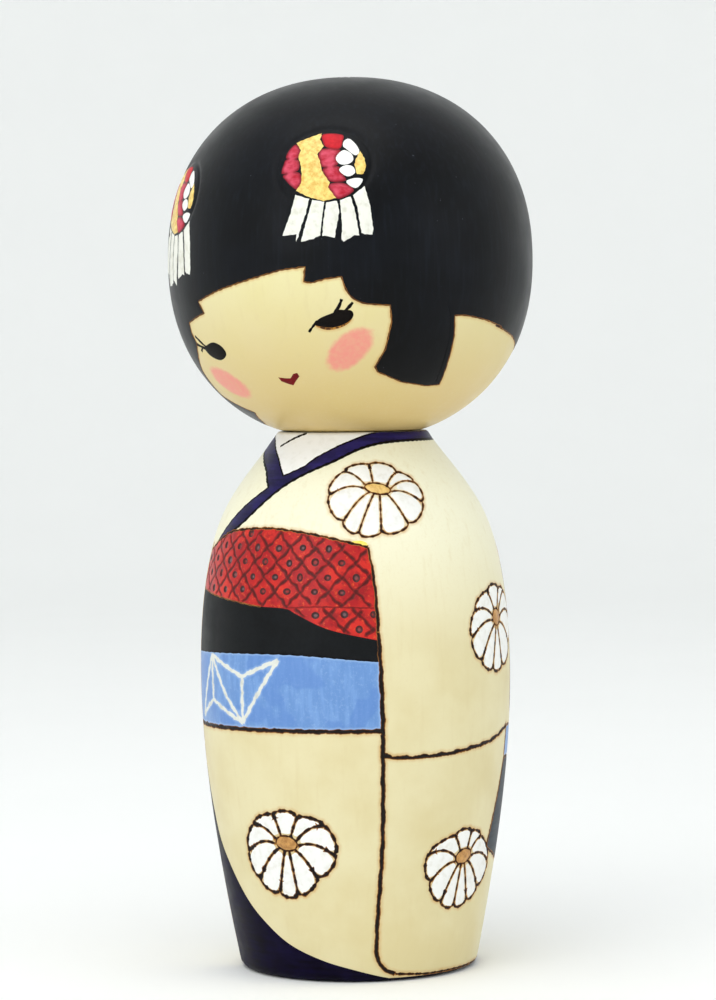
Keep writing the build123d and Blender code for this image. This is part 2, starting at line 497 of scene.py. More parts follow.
class Skin:
    """A divided surface in space, from which the wood and the films on it are made."""

    def __init__(self, shapes, layers, base_lift=None):
        self.turned, self.layers = shapes.turned, layers
        chart, triangles, labels = shapes.divide()
        triangles = self.weld(chart, triangles)
        whole = (np.diff(np.sort(triangles, axis=1), axis=1) > 0).all(axis=1)
        used, triangles = np.unique(triangles[whole], return_inverse=True)
        self.chart, self.triangles = chart[used], triangles.reshape(-1, 3)
        self.names = [name for name in layers if name in set(labels)]
        number = {name: n + 1 for n, name in enumerate(self.names)} | {None: 0}
        self.code = np.array([number[label] for label in labels])[whole]
        # a point's kind is the one code of all the triangles round it, or -1 where they differ, on an edge
        lowest = np.full(len(self.chart), len(self.names) + 1)
        highest = np.zeros(len(self.chart), int)
        for corner in range(3):
            np.minimum.at(lowest, self.triangles[:, corner], self.code)
            np.maximum.at(highest, self.triangles[:, corner], self.code)
        self.kind = np.where(lowest == highest, highest, -1)
        self.flat = self.turned.place(self.chart)
        self.edge = self.distance(self.kind == -1)
        self.base = base_lift(self.flat) if base_lift else np.zeros(len(self.chart))
        self.wood, self.tops = self.base.copy(), self.base.copy()
        for n, name in enumerate(self.names, 1):
            mine = self.kind == n
            self.wood[mine] += layers[name].wood(self.edge[mine])
            self.tops[mine] += layers[name].top(self.edge[mine])
        self.true = self.turned.normals(self.chart)
        self.flat_normals = corner_normals(self.flat, self.triangles)

    def weld(self, chart, triangles):
        """Joins the two sides of the seam, and draws a top edge of no radius together to one point."""
        turned = self.turned
        target = np.arange(len(chart))
        left = np.flatnonzero(chart[:, 0] < -turned.half + ON_EDGE)
        tree = tree_of(chart[left])
        for right in np.flatnonzero(chart[:, 0] > turned.half - ON_EDGE):
            target[right] = left[tree.find((-turned.half, chart[right, 1], 0.0))[1]]
        if turned.r[-1] < 0.01:
            pole = np.flatnonzero(chart[:, 1] > turned.top - ON_EDGE)
            target[pole] = pole[0]
        return target[triangles]

    def distance(self, chosen, most=3.0):
        """Each point's distance in mm to the nearest chosen point, up to most."""
        if not chosen.any():
            return np.full(len(self.chart), most)
        tree = tree_of(self.flat[chosen])
        return np.array([min(most, tree.find(p)[2]) for p in self.flat])

    def distance_to_label(self, name):
        """Each point's distance in mm to the nearest triangle's corner of that label."""
        chosen = np.zeros(len(self.chart), bool)
        chosen[self.triangles[self.code == self.names.index(name) + 1].reshape(-1)] = True
        return self.distance(chosen)

    def lifted(self, lift):
        """Points lifted off the surface and their normals, without the triangles' own unevenness."""
        points = self.turned.place(self.chart, lift)
        return points, unit(self.true + corner_normals(points, self.triangles) - self.flat_normals)

    def fields(self, scorching_label):
        """What the finishes read: how far off the nearest edge and burnt line are, and flat places."""
        scorch = self.distance_to_label(scorching_label)
        places = face_places(self.flat) if self.turned is HEAD else self.chart
        zero = np.zeros(len(self.chart))
        return {
            "near": np.stack([self.edge, scorch, zero], 1),
            "flat_place": np.stack([places[:, 0], places[:, 1], zero], 1),
        }

    def add_film(self, name, fields):
        """The closed film of one label: its top, a root inside the wood, and the wall between them."""
        n = self.names.index(name) + 1
        layer = self.layers[name]
        lift = np.where(self.kind == n, self.tops, self.base + layer.film)
        top, normals = self.lifted(lift)
        root = self.turned.place(self.chart, np.minimum(self.wood, self.base) - FILM_ROOT)
        used, faces = np.unique(self.triangles[self.code == n], return_inverse=True)
        faces = faces.reshape(-1, 3)
        count = len(used)
        sides = np.vstack([faces[:, [0, 1]], faces[:, [1, 2]], faces[:, [2, 0]]])
        keys = np.sort(sides, axis=1) @ np.array([count, 1])
        _, where, times = np.unique(keys, return_index=True, return_counts=True)
        rim = sides[where[times == 1]]
        walls = np.vstack([
            np.stack([rim[:, 0], rim[:, 0] + count, rim[:, 1] + count], 1),
            np.stack([rim[:, 0], rim[:, 1] + count, rim[:, 1]], 1),
        ])
        points = np.vstack([top[used], root[used]])
        a, b, c = (points[walls[:, corner]] for corner in range(3))
        out = unit(np.cross(b - a, c - a), 1e-15)
        triangles = np.vstack([faces, faces[:, ::-1] + count, walls])
        directions = np.concatenate([
            normals[used][faces], -normals[used][faces[:, ::-1]], np.repeat(out[:, None], 3, axis=1),
        ])
        held = {field: np.vstack([values[used], values[used]]) for field, values in fields.items()}
        return add_piece(name, points, triangles, directions, layer.finish, held)

    def add_wood(self, name, finish, fields, under, over=()):
        """The closed wood: the surface, and what lies inside its lower ring and its upper ring. Each of under
        and over is an outline of (radius, height) from the ring to the axis."""
        points, normals = self.lifted(self.wood)
        parts, count = [points], len(points)
        triangles, directions = [self.triangles], [normals[self.triangles]]
        for outline, level, down in ((under, 0.0, True), (over, self.turned.top, False)):
            ring_now = np.flatnonzero(np.abs(self.chart[:, 1] - level) < ON_EDGE)
            ring_now = ring_now[np.argsort(self.chart[ring_now, 0])]
            turns = np.radians(self.chart[ring_now, 0] / self.turned.per_degree + self.turned.middle)
            around = np.stack([np.sin(turns), -np.cos(turns), np.zeros(len(turns))], 1)
            r0, z0 = self.turned.r[0 if down else -1], self.turned.z[0 if down else -1]
            for r1, z1 in outline:  # each step adds a band from ring_now to ring_next, or a cone to the axis
                slope = np.array([z1 - z0, r0 - r1]) / hypot(z1 - z0, r0 - r1)
                facing = (around * slope[0] + np.array([0, 0, slope[1]])) * (-1 if down else 1)
                made = around * r1 + np.array([0, 0, z1]) if r1 > 0 else np.array([[0, 0, z1]])
                ring_next = count + (np.arange(len(made)) if r1 > 0 else np.zeros(len(around), int))
                parts.append(made)
                count += len(made)
                here = np.arange(len(around))
                beyond = np.roll(here, -1)
                halves = [((ring_now, here), (ring_now, beyond), (ring_next, beyond if r1 > 0 else here))]
                if r1 > 0:
                    halves.append(((ring_now, here), (ring_next, beyond), (ring_next, here)))
                for half in halves:
                    half = half[::-1] if down else half
                    triangles.append(np.stack([corners[at] for corners, at in half], 1))
                    directions.append(np.stack([facing[at] for _, at in half], 1))
                ring_now, r0, z0 = ring_next, r1, z1
        points = np.vstack(parts)
        plain = np.full((len(points) - len(self.chart), 3), 3.0)
        held = {field: np.vstack([values, plain]) for field, values in fields.items()}
        return add_piece(name, points, np.vstack(triangles), np.concatenate(directions), finish, held)


# ================================================================ finishes
def colour(red, green, blue):
    """A colour from screen values out of 255."""
    parts = [part / 255 for part in (red, green, blue)]
    return (*(part / 12.92 if part <= 0.04045 else ((part + 0.055) / 1.055) ** 2.4 for part in parts), 1.0)


class Finish:
    """A material under construction: each call adds nodes and gives an output socket."""

    def __init__(self, name, roughness=0.4, coat=0.0, coat_roughness=0.2, specular=0.5):
        self.material = bpy.data.materials.new(name)
        self.material.use_nodes = True
        self.nodes, self.links = self.material.node_tree.nodes, self.material.node_tree.links
        self.shader = self.nodes["Principled BSDF"]
        self.put(self.shader, "Roughness", roughness)
        self.put(self.shader, "Coat Weight", coat)
        self.put(self.shader, "Coat Roughness", coat_roughness)
        self.put(self.shader, "Specular IOR Level", specular)
        self.object_place = self.nodes.new("ShaderNodeTexCoord").outputs["Object"]
        self.bump_so_far = None

    def put(self, node, socket, value):
        if isinstance(value, bpy.types.NodeSocket):
            self.links.new(value, node.inputs[socket])
        else:
            node.inputs[socket].default_value = value

    def math(self, operation, *values):
        node = self.nodes.new("ShaderNodeMath")
        node.operation = operation
        for n, value in enumerate(values):
            self.put(node, n, value)
        return node.outputs[0]

    def noise(self, size, detail=3.0, rough=0.55, stretch=(1, 1, 1), at=0.0):
        """Noise from 0 to 1 with features of about size mm, stretched by a factor along each axis."""
        scaled = self.nodes.new("ShaderNodeVectorMath")
        scaled.operation = "MULTIPLY_ADD"
        self.links.new(self.object_place, scaled.inputs[0])
        scaled.inputs[1].default_value = [1 / (MM * size * part) for part in stretch]
        scaled.inputs[2].default_value = (at, at * 0.7, at * 1.3)
        node = self.nodes.new("ShaderNodeTexNoise")
        node.inputs["Scale"].default_value = 1.0
        node.inputs["Detail"].default_value = detail
        node.inputs["Roughness"].default_value = rough
        self.links.new(scaled.outputs[0], node.inputs["Vector"])
        return node.outputs["Fac"]

    def upright(self, size, streak, detail=3.0, at=0.0):
        """Noise drawn out up and down, as grain and brushed streaks are."""
        return self.noise(size, detail=detail, stretch=(1, 1, streak), at=at)

    def axis(self, vector, name):
        node = self.nodes.new("ShaderNodeSeparateXYZ")
        self.links.new(vector, node.inputs[0])
        return node.outputs[name]

    def field(self, name, axis):
        """One number of a field of the mesh."""
        node = self.nodes.new("ShaderNodeAttribute")
        node.attribute_name = name
        return self.axis(node.outputs["Vector"], axis)

    def ramp(self, value, *stops):
        """A colour from a value, with stops of (value, colour)."""
        node = self.nodes.new("ShaderNodeValToRGB")
        points = node.color_ramp.elements
        while len(points) < len(stops):
            points.new(0.5)
        for point, (position, shade) in zip(points, stops, strict=True):
            point.position = position
            point.color = shade
        self.put(node, "Fac", value)
        return node.outputs["Color"]

    def spread(self, value, low, high, start=0.0, end=1.0):
        """The value mapped from low..high to start..end, smoothly and within those limits."""
        node = self.nodes.new("ShaderNodeMapRange")
        node.interpolation_type = "SMOOTHSTEP"
        for socket, part in zip(range(5), (value, low, high, start, end), strict=True):
            self.put(node, socket, part)
        return node.outputs["Result"]

    def mix(self, share, first, second):
        node = self.nodes.new("ShaderNodeMix")
        node.data_type = "RGBA"
        self.put(node, 0, share)
        self.put(node, 6, first)
        self.put(node, 7, second)
        return node.outputs[2]

    def over(self, base, shade, value, low, high, start=0.0, end=1.0):
        """The base with a shade over it, in a share of start to end where the value goes from low to high."""
        return self.mix(self.spread(value, low, high, start, end), base, shade)

    def bump(self, height, depth, strength=1.0):
        """Adds a small unevenness, depth mm deep."""
        node = self.nodes.new("ShaderNodeBump")
        node.inputs["Distance"].default_value = depth * MM
        node.inputs["Strength"].default_value = strength
        self.links.new(height, node.inputs["Height"])
        if self.bump_so_far:
            self.links.new(self.bump_so_far, node.inputs["Normal"])
        self.bump_so_far = node.outputs["Normal"]

    def done(self, base, roughness=None):
        self.put(self.shader, "Base Color", base)
        if roughness:
            self.put(self.shader, "Roughness", roughness)
        if self.bump_so_far:
            self.links.new(self.bump_so_far, self.shader.inputs["Normal"])
            self.links.new(self.bump_so_far, self.shader.inputs["Coat Normal"])
        return self.material


def blush_share(f, x, y, half_length, half_width, tilt):
    """How much of a rubbed-on blush shows: a leaning ellipse with a soft, grainy edge."""
    c, s = cos(radians(tilt)), sin(radians(tilt))
    right = f.math("SUBTRACT", f.field("flat_place", "X"), x)
    up = f.math("SUBTRACT", f.field("flat_place", "Y"), y)
    far = f.math("MULTIPLY_ADD", right, c, f.math("MULTIPLY", up, s))
    wide = f.math("MULTIPLY_ADD", up, c, f.math("MULTIPLY", right, -s))
    far, wide = f.math("DIVIDE", far, half_length), f.math("DIVIDE", wide, half_width)
    reach = f.math("SQRT", f.math("MULTIPLY_ADD", far, far, f.math("MULTIPLY", wide, wide)))
    reach = f.math("MULTIPLY_ADD", f.math("SUBTRACT", f.noise(1.1, detail=4, at=4), 0.5), 0.3, reach)
    patch = f.spread(reach, 0.8, 1.16, 1, 0)
    return f.math("MULTIPLY", patch, f.spread(f.noise(0.8, detail=4, at=9), 0.25, 0.7, 0.74, 0.92))


def lacquered_wood(name, pale, deep, scorch_reach, painted_shading, blushes=()):
    """Pale sprayed wood under satin varnish: faint mottling, fine grain, and a scorch beside each burnt line.
    The painted_shading is light and shade painted in by height: a colour that comes in between two heights
    in mm, with its share at the lower and the higher one, and its shade."""
    f = Finish(name, roughness=0.42, coat=0.12, coat_roughness=0.22, specular=0.3)
    mottle = f.noise(16.0, detail=4)
    base = f.over(pale, deep, mottle, 0.3, 0.72)
    height = f.math("MULTIPLY_ADD", mottle, 0.012, f.axis(f.object_place, "Z"))
    # painted light and shade: a colour that comes in with height, as the light falls from above
    low, high, low_share, high_share, shade = painted_shading
    base = f.over(base, shade, height, low * MM, high * MM, low_share, high_share)
    base = f.over(base, colour(222, 205, 158), f.noise(0.55, detail=2, at=3), 0.5, 0.85, 0, 0.22)
    grain = f.upright(1.4, 16, detail=5, at=8)
    base = f.over(base, colour(214, 196, 142), grain, 0.52, 0.8, 0, 0.22)
    for blush in blushes:
        base = f.mix(blush_share(f, *blush), base, colour(236, 142, 130))
    scorch = f.math("DIVIDE", f.field("near", "Y"), scorch_reach)
    uneven = f.math("MULTIPLY_ADD", f.noise(2.2, at=5), 1.6, -0.35)
    share = f.math("MULTIPLY", f.spread(scorch, 0, 1, 0.85, 0), uneven)
    base = f.mix(f.math("MINIMUM", f.math("MAXIMUM", share, 0), 1), base, colour(206, 156, 78))
    f.bump(f.noise(0.9, detail=3, at=2), 0.012, 0.5)
    f.bump(grain, 0.01, 0.5)
    return f.done(base, f.spread(f.noise(5.0, at=11), 0.2, 0.8, 0.36, 0.5))


def burnt_wood():
    """A line drawn with a hot point: black-brown where it is wide, golden brown where it is thin."""
    f = Finish("burnt_line", roughness=0.45, coat=0.05, coat_roughness=0.25, specular=0.15)
    wide = f.math("MULTIPLY", f.field("near", "X"), 1.9)
    heat = f.math("MULTIPLY_ADD", f.noise(2.6, detail=2), 0.5, wide)
    base = f.ramp(
        heat,
        (0.22, colour(184, 128, 54)),
        (0.4, colour(112, 66, 26)),
        (0.58, colour(50, 26, 12)),
        (0.8, colour(20, 11, 8)),
    )
    f.bump(f.noise(0.35, detail=3, at=6), 0.05, 0.6)
    return f.done(base, f.spread(f.noise(1.0, at=2), 0.3, 0.7, 0.35, 0.6))


def brushed_paint(
    name, dark, light, roughness=0.38, patch=6.0, streak=10.0, grain=0.02, edge=None, specular=0.12
):
    """Hand-laid paint: patches of patch mm and strokes of two shades. The strokes are drawn out by streak
    along the way round, as a brush on a spinning lathe leaves them. The edge is a painted shade near the
    paint's edge, darker where a domed cell curves away from the light: its colour, how far it reaches, and
    its greatest share."""
    f = Finish(name, roughness=roughness, coat=specular / 3, coat_roughness=0.22, specular=specular)
    strokes = f.noise(0.7, stretch=(streak, streak, 1))
    patches = f.noise(patch, detail=4, at=7)
    share = f.math("MULTIPLY_ADD", strokes, 0.45, f.math("MULTIPLY", patches, 0.6))
    base = f.over(dark, light, share, 0.32, 0.72)
    # painted shade: darker towards the paint's edge
    if edge:
        shade, reach, most = edge
        base = f.over(base, shade, f.field("near", "X"), 0, reach, most, 0)
    f.bump(strokes, grain, 0.6)
    f.bump(f.noise(0.5, detail=3, at=1), grain / 2, 0.5)
    return f.done(base, f.spread(patches, 0.25, 0.75, roughness - 0.06, roughness + 0.1))


def hair_paint():
    """Blue-black satin lacquer: faint brush streaks downwards, and painted shade that makes it blacker
    towards the neck.
    """
    f = Finish("hair_black_lacquer", roughness=0.4, coat=0.04, coat_roughness=0.35, specular=0.09)
    f.put(f.shader, "Sheen Weight", 0.05)
    f.put(f.shader, "Sheen Roughness", 0.5)
    streaks = f.upright(0.9, 14, detail=4)
    base = f.over(colour(5, 7, 10), colour(11, 14, 20), f.noise(14.0, at=3), 0.3, 0.7)
    base = f.over(base, colour(30, 36, 46), streaks, 0.45, 0.8, 0, 0.3)
    # painted shade: the hair goes nearly black below the temples, towards the neck
    base = f.over(base, colour(1, 1, 1), f.axis(f.object_place, "Z"), 118 * MM, 146 * MM, 0.8, 0)
    base = f.over(base, colour(96, 102, 112), f.noise(0.8, detail=1, at=12), 0.78, 0.84, 0, 0.35)
    f.bump(streaks, 0.02, 0.6)
    f.bump(f.noise(0.7, detail=2, at=5), 0.006, 0.5)
    return f.done(base, f.spread(f.noise(9.0, at=6), 0.2, 0.8, 0.3, 0.44))


def brocade_paint():
    """Red brocade: orange and crimson flecks over red."""
    f = Finish("obi_red_brocade", roughness=0.34, coat=0.12, coat_roughness=0.2, specular=0.2)
    base = f.over(colour(172, 24, 30), colour(212, 44, 34), f.noise(4.5), 0.35, 0.7)
    fleck = f.noise(0.9, detail=4, rough=0.7, at=4)
    base = f.over(base, colour(226, 92, 40), fleck, 0.54, 0.72, 0, 0.85)
    base = f.over(base, colour(132, 18, 28), f.noise(1.6, at=9), 0.52, 0.7, 0, 0.75)
    f.bump(fleck, 0.03, 0.6)
    return f.done(base)


def lattice_paint():
    """The lines of the brocade: burnt through red paint, dark in the middle and red at their edges."""
    f = Finish("obi_brocade_lines", roughness=0.36, coat=0.1, coat_roughness=0.2, specular=0.15)
    depth = f.math("MULTIPLY_ADD", f.noise(2.0), 0.28, f.field("near", "X"))
    base = f.ramp(depth, (0.1, colour(182, 34, 30)), (0.28, colour(134, 26, 27)), (0.5, colour(84, 24, 24)))
    f.bump(f.noise(0.4, detail=2, at=6), 0.03, 0.5)
    return f.done(base)


def pit_paint():
    """The brocade's dots: pits with a charred rim and a glossy floor, red in some, and in others a pale
    violet floor that is a painted highlight.
    """
    f = Finish("obi_brocade_dots", roughness=0.3, coat=0.3, coat_roughness=0.15, specular=0.2)
    depth = f.math("MULTIPLY_ADD", f.noise(1.2), 0.12, f.field("near", "X"))
    rim = ((0.08, colour(98, 22, 22)), (0.25, colour(50, 18, 18)))
    # painted highlight: a pale violet floor standing for the gloss seen in some pits
    painted_highlight_floor = f.ramp(depth, *rim, (0.45, colour(60, 34, 38)), (0.6, colour(112, 84, 88)))
    red = f.ramp(depth, *rim, (0.45, colour(88, 24, 24)), (0.6, colour(152, 36, 32)))
    base = f.over(red, painted_highlight_floor, f.noise(5.0, at=3), 0.42, 0.58)
    f.bump(f.noise(0.4, detail=2, at=6), 0.03, 0.5)
    return f.done(base)


def blue_paint():
    """Sky-blue wash: upright brush streaks, mottled, with darker pools where the paint gathered."""
    f = Finish("obi_blue_wash", roughness=0.42, coat=0.25, coat_roughness=0.25)
    streaks = f.upright(1.1, 6, detail=4, at=2)
    base = f.over(colour(96, 142, 204), colour(111, 155, 214), streaks, 0.38, 0.68)
    mottle = f.noise(0.6, detail=4, rough=0.75, at=5)
    base = f.over(base, colour(148, 182, 226), mottle, 0.5, 0.75, 0, 0.55)
    base = f.over(base, colour(80, 128, 200), f.noise(9.0, detail=2, at=8), 0.5, 0.56, 0, 0.55)
    base = f.over(base, colour(170, 200, 236), f.field("near", "X"), 0.05, 0.5, 0.4, 0)
    f.bump(streaks, 0.03, 0.5)
    return f.done(base)


def white_paint(name, shade, stain):
    """Opaque white, brushed on thickly and stained a little in patches."""
    f = Finish(name, roughness=0.45, coat=0.15, coat_roughness=0.25)
    base = f.over(shade, stain, f.noise(1.6, detail=4), 0.45, 0.78, 0, 0.7)
    f.bump(f.noise(0.8, detail=3, at=3), 0.03, 0.6)
    return f.done(base)


def gold_paint(name, dark, light):
    """Thick golden paint, dabbed on, darker in patches."""
    f = Finish(name, roughness=0.4, coat=0.3, coat_roughness=0.2)
    strokes = f.noise(0.9, detail=4, rough=0.65)
    base = f.over(dark, light, strokes, 0.32, 0.66)
    f.bump(strokes, 0.05, 0.7)
    return f.done(base)


def bare_wood():
    """Bare maple: growth lines along the dowel, and pores."""
    f = Finish("bare_maple", roughness=0.6, specular=0.3)
    grain = f.upright(1.0, 24, detail=5)
    base = f.over(colour(214, 184, 138), colour(234, 212, 172), grain, 0.35, 0.7)
    base = f.over(base, colour(160, 122, 80), f.upright(0.3, 8, detail=2, at=5), 0.64, 0.8, 0, 0.6)
    f.bump(grain, 0.04, 0.6)
    return f.done(base)


# each blush's middle, (right, up) from the middle of the face, its half length and half width, and its tilt
NEAR_BLUSH = (15.7, -23.5, 6.1, 3.2, 27)
FAR_BLUSH = (-17.4, -23.8, 6.0, 3.3, -34)
# painted light: the body's wood is paler towards the shoulders, where the light from above falls
CREAM = lacquered_wood(
    "cream_lacquered_wood", colour(230, 220, 177), colour(221, 207, 157), 0.8,
    painted_shading=(66, 104, 0, 0.9, colour(248, 246, 220)),
)
# painted shade: the face's wood is darker and warmer towards the chin
FACE_SKIN = lacquered_wood(
    "face_lacquered_wood", colour(238, 234, 186), colour(232, 224, 166), 0.7,
    painted_shading=(110, 160, 0.85, 0, colour(208, 174, 104)), blushes=(NEAR_BLUSH, FAR_BLUSH),
)
BURNT = burnt_wood()
HAIR = hair_paint()
NAVY = brushed_paint("collar_navy_paint", colour(20, 15, 52), colour(42, 34, 100), patch=5)
HEM_NAVY = brushed_paint("hem_navy_paint", colour(4, 1, 12), colour(15, 8, 42), patch=5, specular=0.05)
BLACK = brushed_paint(
    "obi_black_paint", colour(6, 8, 10), colour(16, 19, 22), roughness=0.45, streak=1, grain=0.012
)
INK = brushed_paint("black_ink", colour(8, 6, 5), colour(20, 14, 12), specular=0.06)
SLATE = brushed_paint("sash_end_slate", colour(44, 50, 56), colour(66, 74, 82), roughness=0.45)
BLUE = blue_paint()
BROCADE = brocade_paint()
LATTICE = lattice_paint()
PITS = pit_paint()
WHITE = white_paint("petal_white_paint", colour(246, 246, 243), colour(226, 224, 214))
COLLAR = white_paint("collar_white_paint", colour(250, 250, 249), colour(238, 238, 234))
CHALK = white_paint("sash_white_lines", colour(226, 228, 220), colour(188, 192, 186))
TASSEL = white_paint("tassel_white_paint", colour(238, 238, 228), colour(206, 205, 186))
OCHRE = gold_paint("daisy_centre_ochre", colour(166, 112, 44), colour(206, 152, 76))
GOLD = gold_paint("daisy_centre_gold", colour(216, 168, 84), colour(244, 208, 128))
YELLOW = gold_paint("ornament_yellow", colour(222, 176, 72), colour(248, 222, 124))
LEMON = gold_paint("obi_gold_mark", colour(246, 220, 70), colour(252, 238, 128))
# the red cells: the darker edge is painted shade on the domed cells, and the pinker light shade is partly
# painted highlight and partly the paint's own streaks
RED = brushed_paint(
    "ornament_red", colour(178, 26, 46), colour(218, 84, 108), patch=2.2, streak=2, grain=0.03,
    edge=(colour(112, 14, 26), 0.7, 0.85),
)
# the scarlet cell: the darker edge is painted shade on the domed cell
SCARLET = brushed_paint(
    "ornament_scarlet", colour(186, 18, 34), colour(214, 36, 48), patch=2.2, streak=2, grain=0.03,
    edge=(colour(120, 16, 30), 0.45, 0.7),
)
LIPS = brushed_paint("lip_red", colour(92, 2, 8), colour(126, 6, 16), patch=1.5, streak=2)
BARE = bare_wood()

# ================================================================ what is painted on the body
at = BODY.chart


def straight_outline(points, step=OUTLINE_STEP):
    """A closed outline of straight sides between the points."""
    return straight(looped(np.array(points, float)), step)[:-1]


def mirrored(points):
    """(azimuth, height) points on the doll's right side from those on its left."""
    return [(2 * FRONT - azimuth, height) for azimuth, height in points]


def across_back(points):
    """(azimuth, height) points on the other half of the doll's back."""
    return [(2 * BACK - azimuth, height) for azimuth, height in points]


def draw_lines(shapes, lines, **manner):
    """Several lines, each given by its label, chart points, how far they shake, its width, how uneven the
    width is, and a seed."""
    for label, points, shake, width, uneven, seed in lines:
        shapes.line(label, shaky(points, shake, seed), width, uneven, seed, **manner)


DAISIES = {
    # azimuth and height of the centre, its half width, half height and lean, its label, the burnt lines'
    # width, and the direction and reach of the notches between the petals
    "shoulder": (49, 98.7, (2.5, 1.15, -12), "daisy_centres_gold", 0.4, [
        (100, 5.8), (38, 6.2), (9, 8.2), (-21, 9.3), (-58, 9.3), (-92, 9.4), (-115, 10.6), (-135, 10.1),
        (-172, 9.6), (147, 7.6)]),
    "sleeve": (102.7, 72.1, (1.6, 1.6, 0), "daisy_centres", 0.5, [
        (119, 6.1), (63, 6.2), (36, 8.2), (-1, 10.4), (-37, 9.8), (-80, 9.8), (-105, 10.4), (-130, 10.6),
        (-160, 10.3), (168, 8.4)]),
    "front": (7.9, 28.4, (2.3, 1.4, -5), "daisy_centres", 0.62, [
        (114, 6.2), (62, 6.2), (25, 9), (-12, 10.2), (-48, 9.1), (-81, 10.5), (-104, 10.4), (-134, 10.7),
        (-167, 10.1), (157, 8.4)]),
    "side": (85, 24.5, (2.2, 1.4, 10), "daisy_centres", 0.52, [
        (70, 5.2), (32, 6.4), (-13, 10.3), (-49, 9.3), (-75, 9.5), (-98, 10), (-120, 10.1), (-152, 9.3),
        (172, 9.2), (124, 5.4)]),
}
FAR_DAISIES = {
    # the daisies that the photograph doesn't show: which one each repeats, and where its centre is
    "far_shoulder": ("shoulder", 275, 97.0),
    "far_sleeve": ("sleeve", 257.3, 72.1),
    "far_side": ("side", 273, 24.5),
    "back": ("front", 180, 29.0),
}
SPOKE_START = 1.12  # a spoke's start, as a share of the centre's radius
SPOKE_BEND = 1.2  # how far a spoke bows upwards, for a spoke that lies sideways
SPOKE_STEPS = 9
PETAL_MARGIN = 0.4  # from the middle of a burnt line to the white paint
PETAL_LEAST = 0.35  # a petal's base narrower than this has no paint
PETAL_PART = (0.06, 0.93)  # the part of a spoke that the paint follows
PETAL_TIP = 1.08  # a petal's tip, as a share of its notches' reach
TIP_ROUNDING = ((0.19, 0.76), (0.5, 1), (0.81, 0.76))  # the way across a petal's tip, and the rise there
TIP_MARGIN = 0.42
STROKE_RISE = 0.2  # a tip's stroke leaves its first spoke by this share of the tip's bulge
STROKE_END = 0.985  # and ends just inside the next notch
CENTRE_MARGIN = 0.12


def draw_daisy(shapes, name, azimuth, height, centre, centre_label, weight, notches, seed):
    """A daisy of white petals inside burnt outlines. Spokes run from the centre's rim to the notches between
    the petals, and a stroke of the hot point goes round each petal's tip."""
    half_width, half_height, lean_of_centre = centre
    shares = np.linspace(0, 1, SPOKE_STEPS)[:, None]

    def on_body(points):
        return BODY.near(azimuth, height, points)

    def spoke(direction, reach):
        turn, lean = radians(direction), radians(lean_of_centre)
        x, y = half_width * cos(turn - lean), half_height * sin(turn - lean)
        start = SPOKE_START * np.array([cos(lean) * x - sin(lean) * y, sin(lean) * x + cos(lean) * y])
        end = reach * np.array([cos(turn), sin(turn)])
        bow = np.array([0, SPOKE_BEND * abs(cos(turn)) * reach / 10])
        return start + (end - start) * shares + 4 * shares * (1 - shares) * bow

    strokes = []
    for left, right in zip(notches, notches[1:] + notches[:1], strict=True):
        first, second = spoke(*left), spoke(*right)
        across = second - first
        width = np.linalg.norm(across, axis=1)
        shift = across / width[:, None] * PETAL_MARGIN
        clear = width > 2 * PETAL_MARGIN + PETAL_LEAST
        clear &= (shares[:, 0] > PETAL_PART[0]) & (shares[:, 0] < PETAL_PART[1])
        middle = (first[-1] + second[-1]) / 2
        size = np.linalg.norm(middle)
        bulge = middle / size * (PETAL_TIP * (left[1] + right[1]) / 2 - size)
        crown = [first[-1] + across[-1] * part + bulge * rise for part, rise in TIP_ROUNDING]
        inner_crown = [point - bulge / np.linalg.norm(bulge) * TIP_MARGIN for point in crown]
        white = [*(first + shift)[clear], *inner_crown, *(second - shift)[clear][::-1]]
        shapes.area(name, on_body(smooth(white, closed=True)), FINE_STEP)
        begin, end = (first, second) if first[-1, 1] > second[-1, 1] else (second, first)
        tip = crown if begin is first else crown[::-1]
        strokes.append([*begin[-3:-1], begin[-1] + bulge * STROKE_RISE, *tip, end[-1] * STROKE_END])
    spokes = [spoke(*notch) for notch in notches]
    for lines, heavier, uneven, blobs, first_seed in (
        (spokes, 1.0, 0.45, 0.5, seed),
        (strokes, 1.2, 0.55, 0.7, seed + 20),
    ):
        for number, points in enumerate(lines):
            line = on_body(smooth(points))
            shapes.line("burnt_lines", line, heavier * weight, uneven, first_seed + number, True, blobs)
    shapes.area(centre_label, on_body(ring(half_width, half_height, lean_of_centre)), FINE_STEP)
    rim = looped(ring(half_width + CENTRE_MARGIN, half_height + CENTRE_MARGIN, lean_of_centre))
    shapes.line("burnt_lines", on_body(rim), 0.42, 0.5, seed + 40)


COLLAR_V = (-3.2, 101.2)
COLLAR_WHITE = [(SEAM, NECK), (-50, 108), (-40, 106.6), (-10, 101.5), (-2, 100.5), (36, 107), (56, NECK)]
COLLAR_FOLD = [(-21.4, 106.9), (-10.8, 108.5), (0, 109.6)]
LONG_LAPEL_LOW = [(300, 107.0), (270, 107.8), (180, 108.1), (127, 108), (56, 107.5), (23, 103.7), (1, 99.5),
                  (-17.5, 92), (-30.5, 88.6)]
LONG_LAPEL_END = [(-36.5, 87.8), (-22, 94.7), (-9.6, 99)]
LONG_LAPEL_HIGH = [COLLAR_V, (3, 102.2), (8.6, 103.2), (12.4, 104.4), (16.2, 105.2), (23.2, 106.4),
                   (30, 107.4), (45, 109), (58, NECK)]
RIGHT_LAPEL_OUT = [(-4, 99), (-9.6, 99), (-19, 102), (-28.7, 103.7), (-38.4, 105), (SEAM, 107.0)]
RIGHT_LAPEL_IN = [(SEAM, NECK), (-52, 109), (-44, 108.5), (-35, 107.8), (-24.8, 106.3), (-14.7, 104.5),
                  (-7.7, 102.6), COLLAR_V]


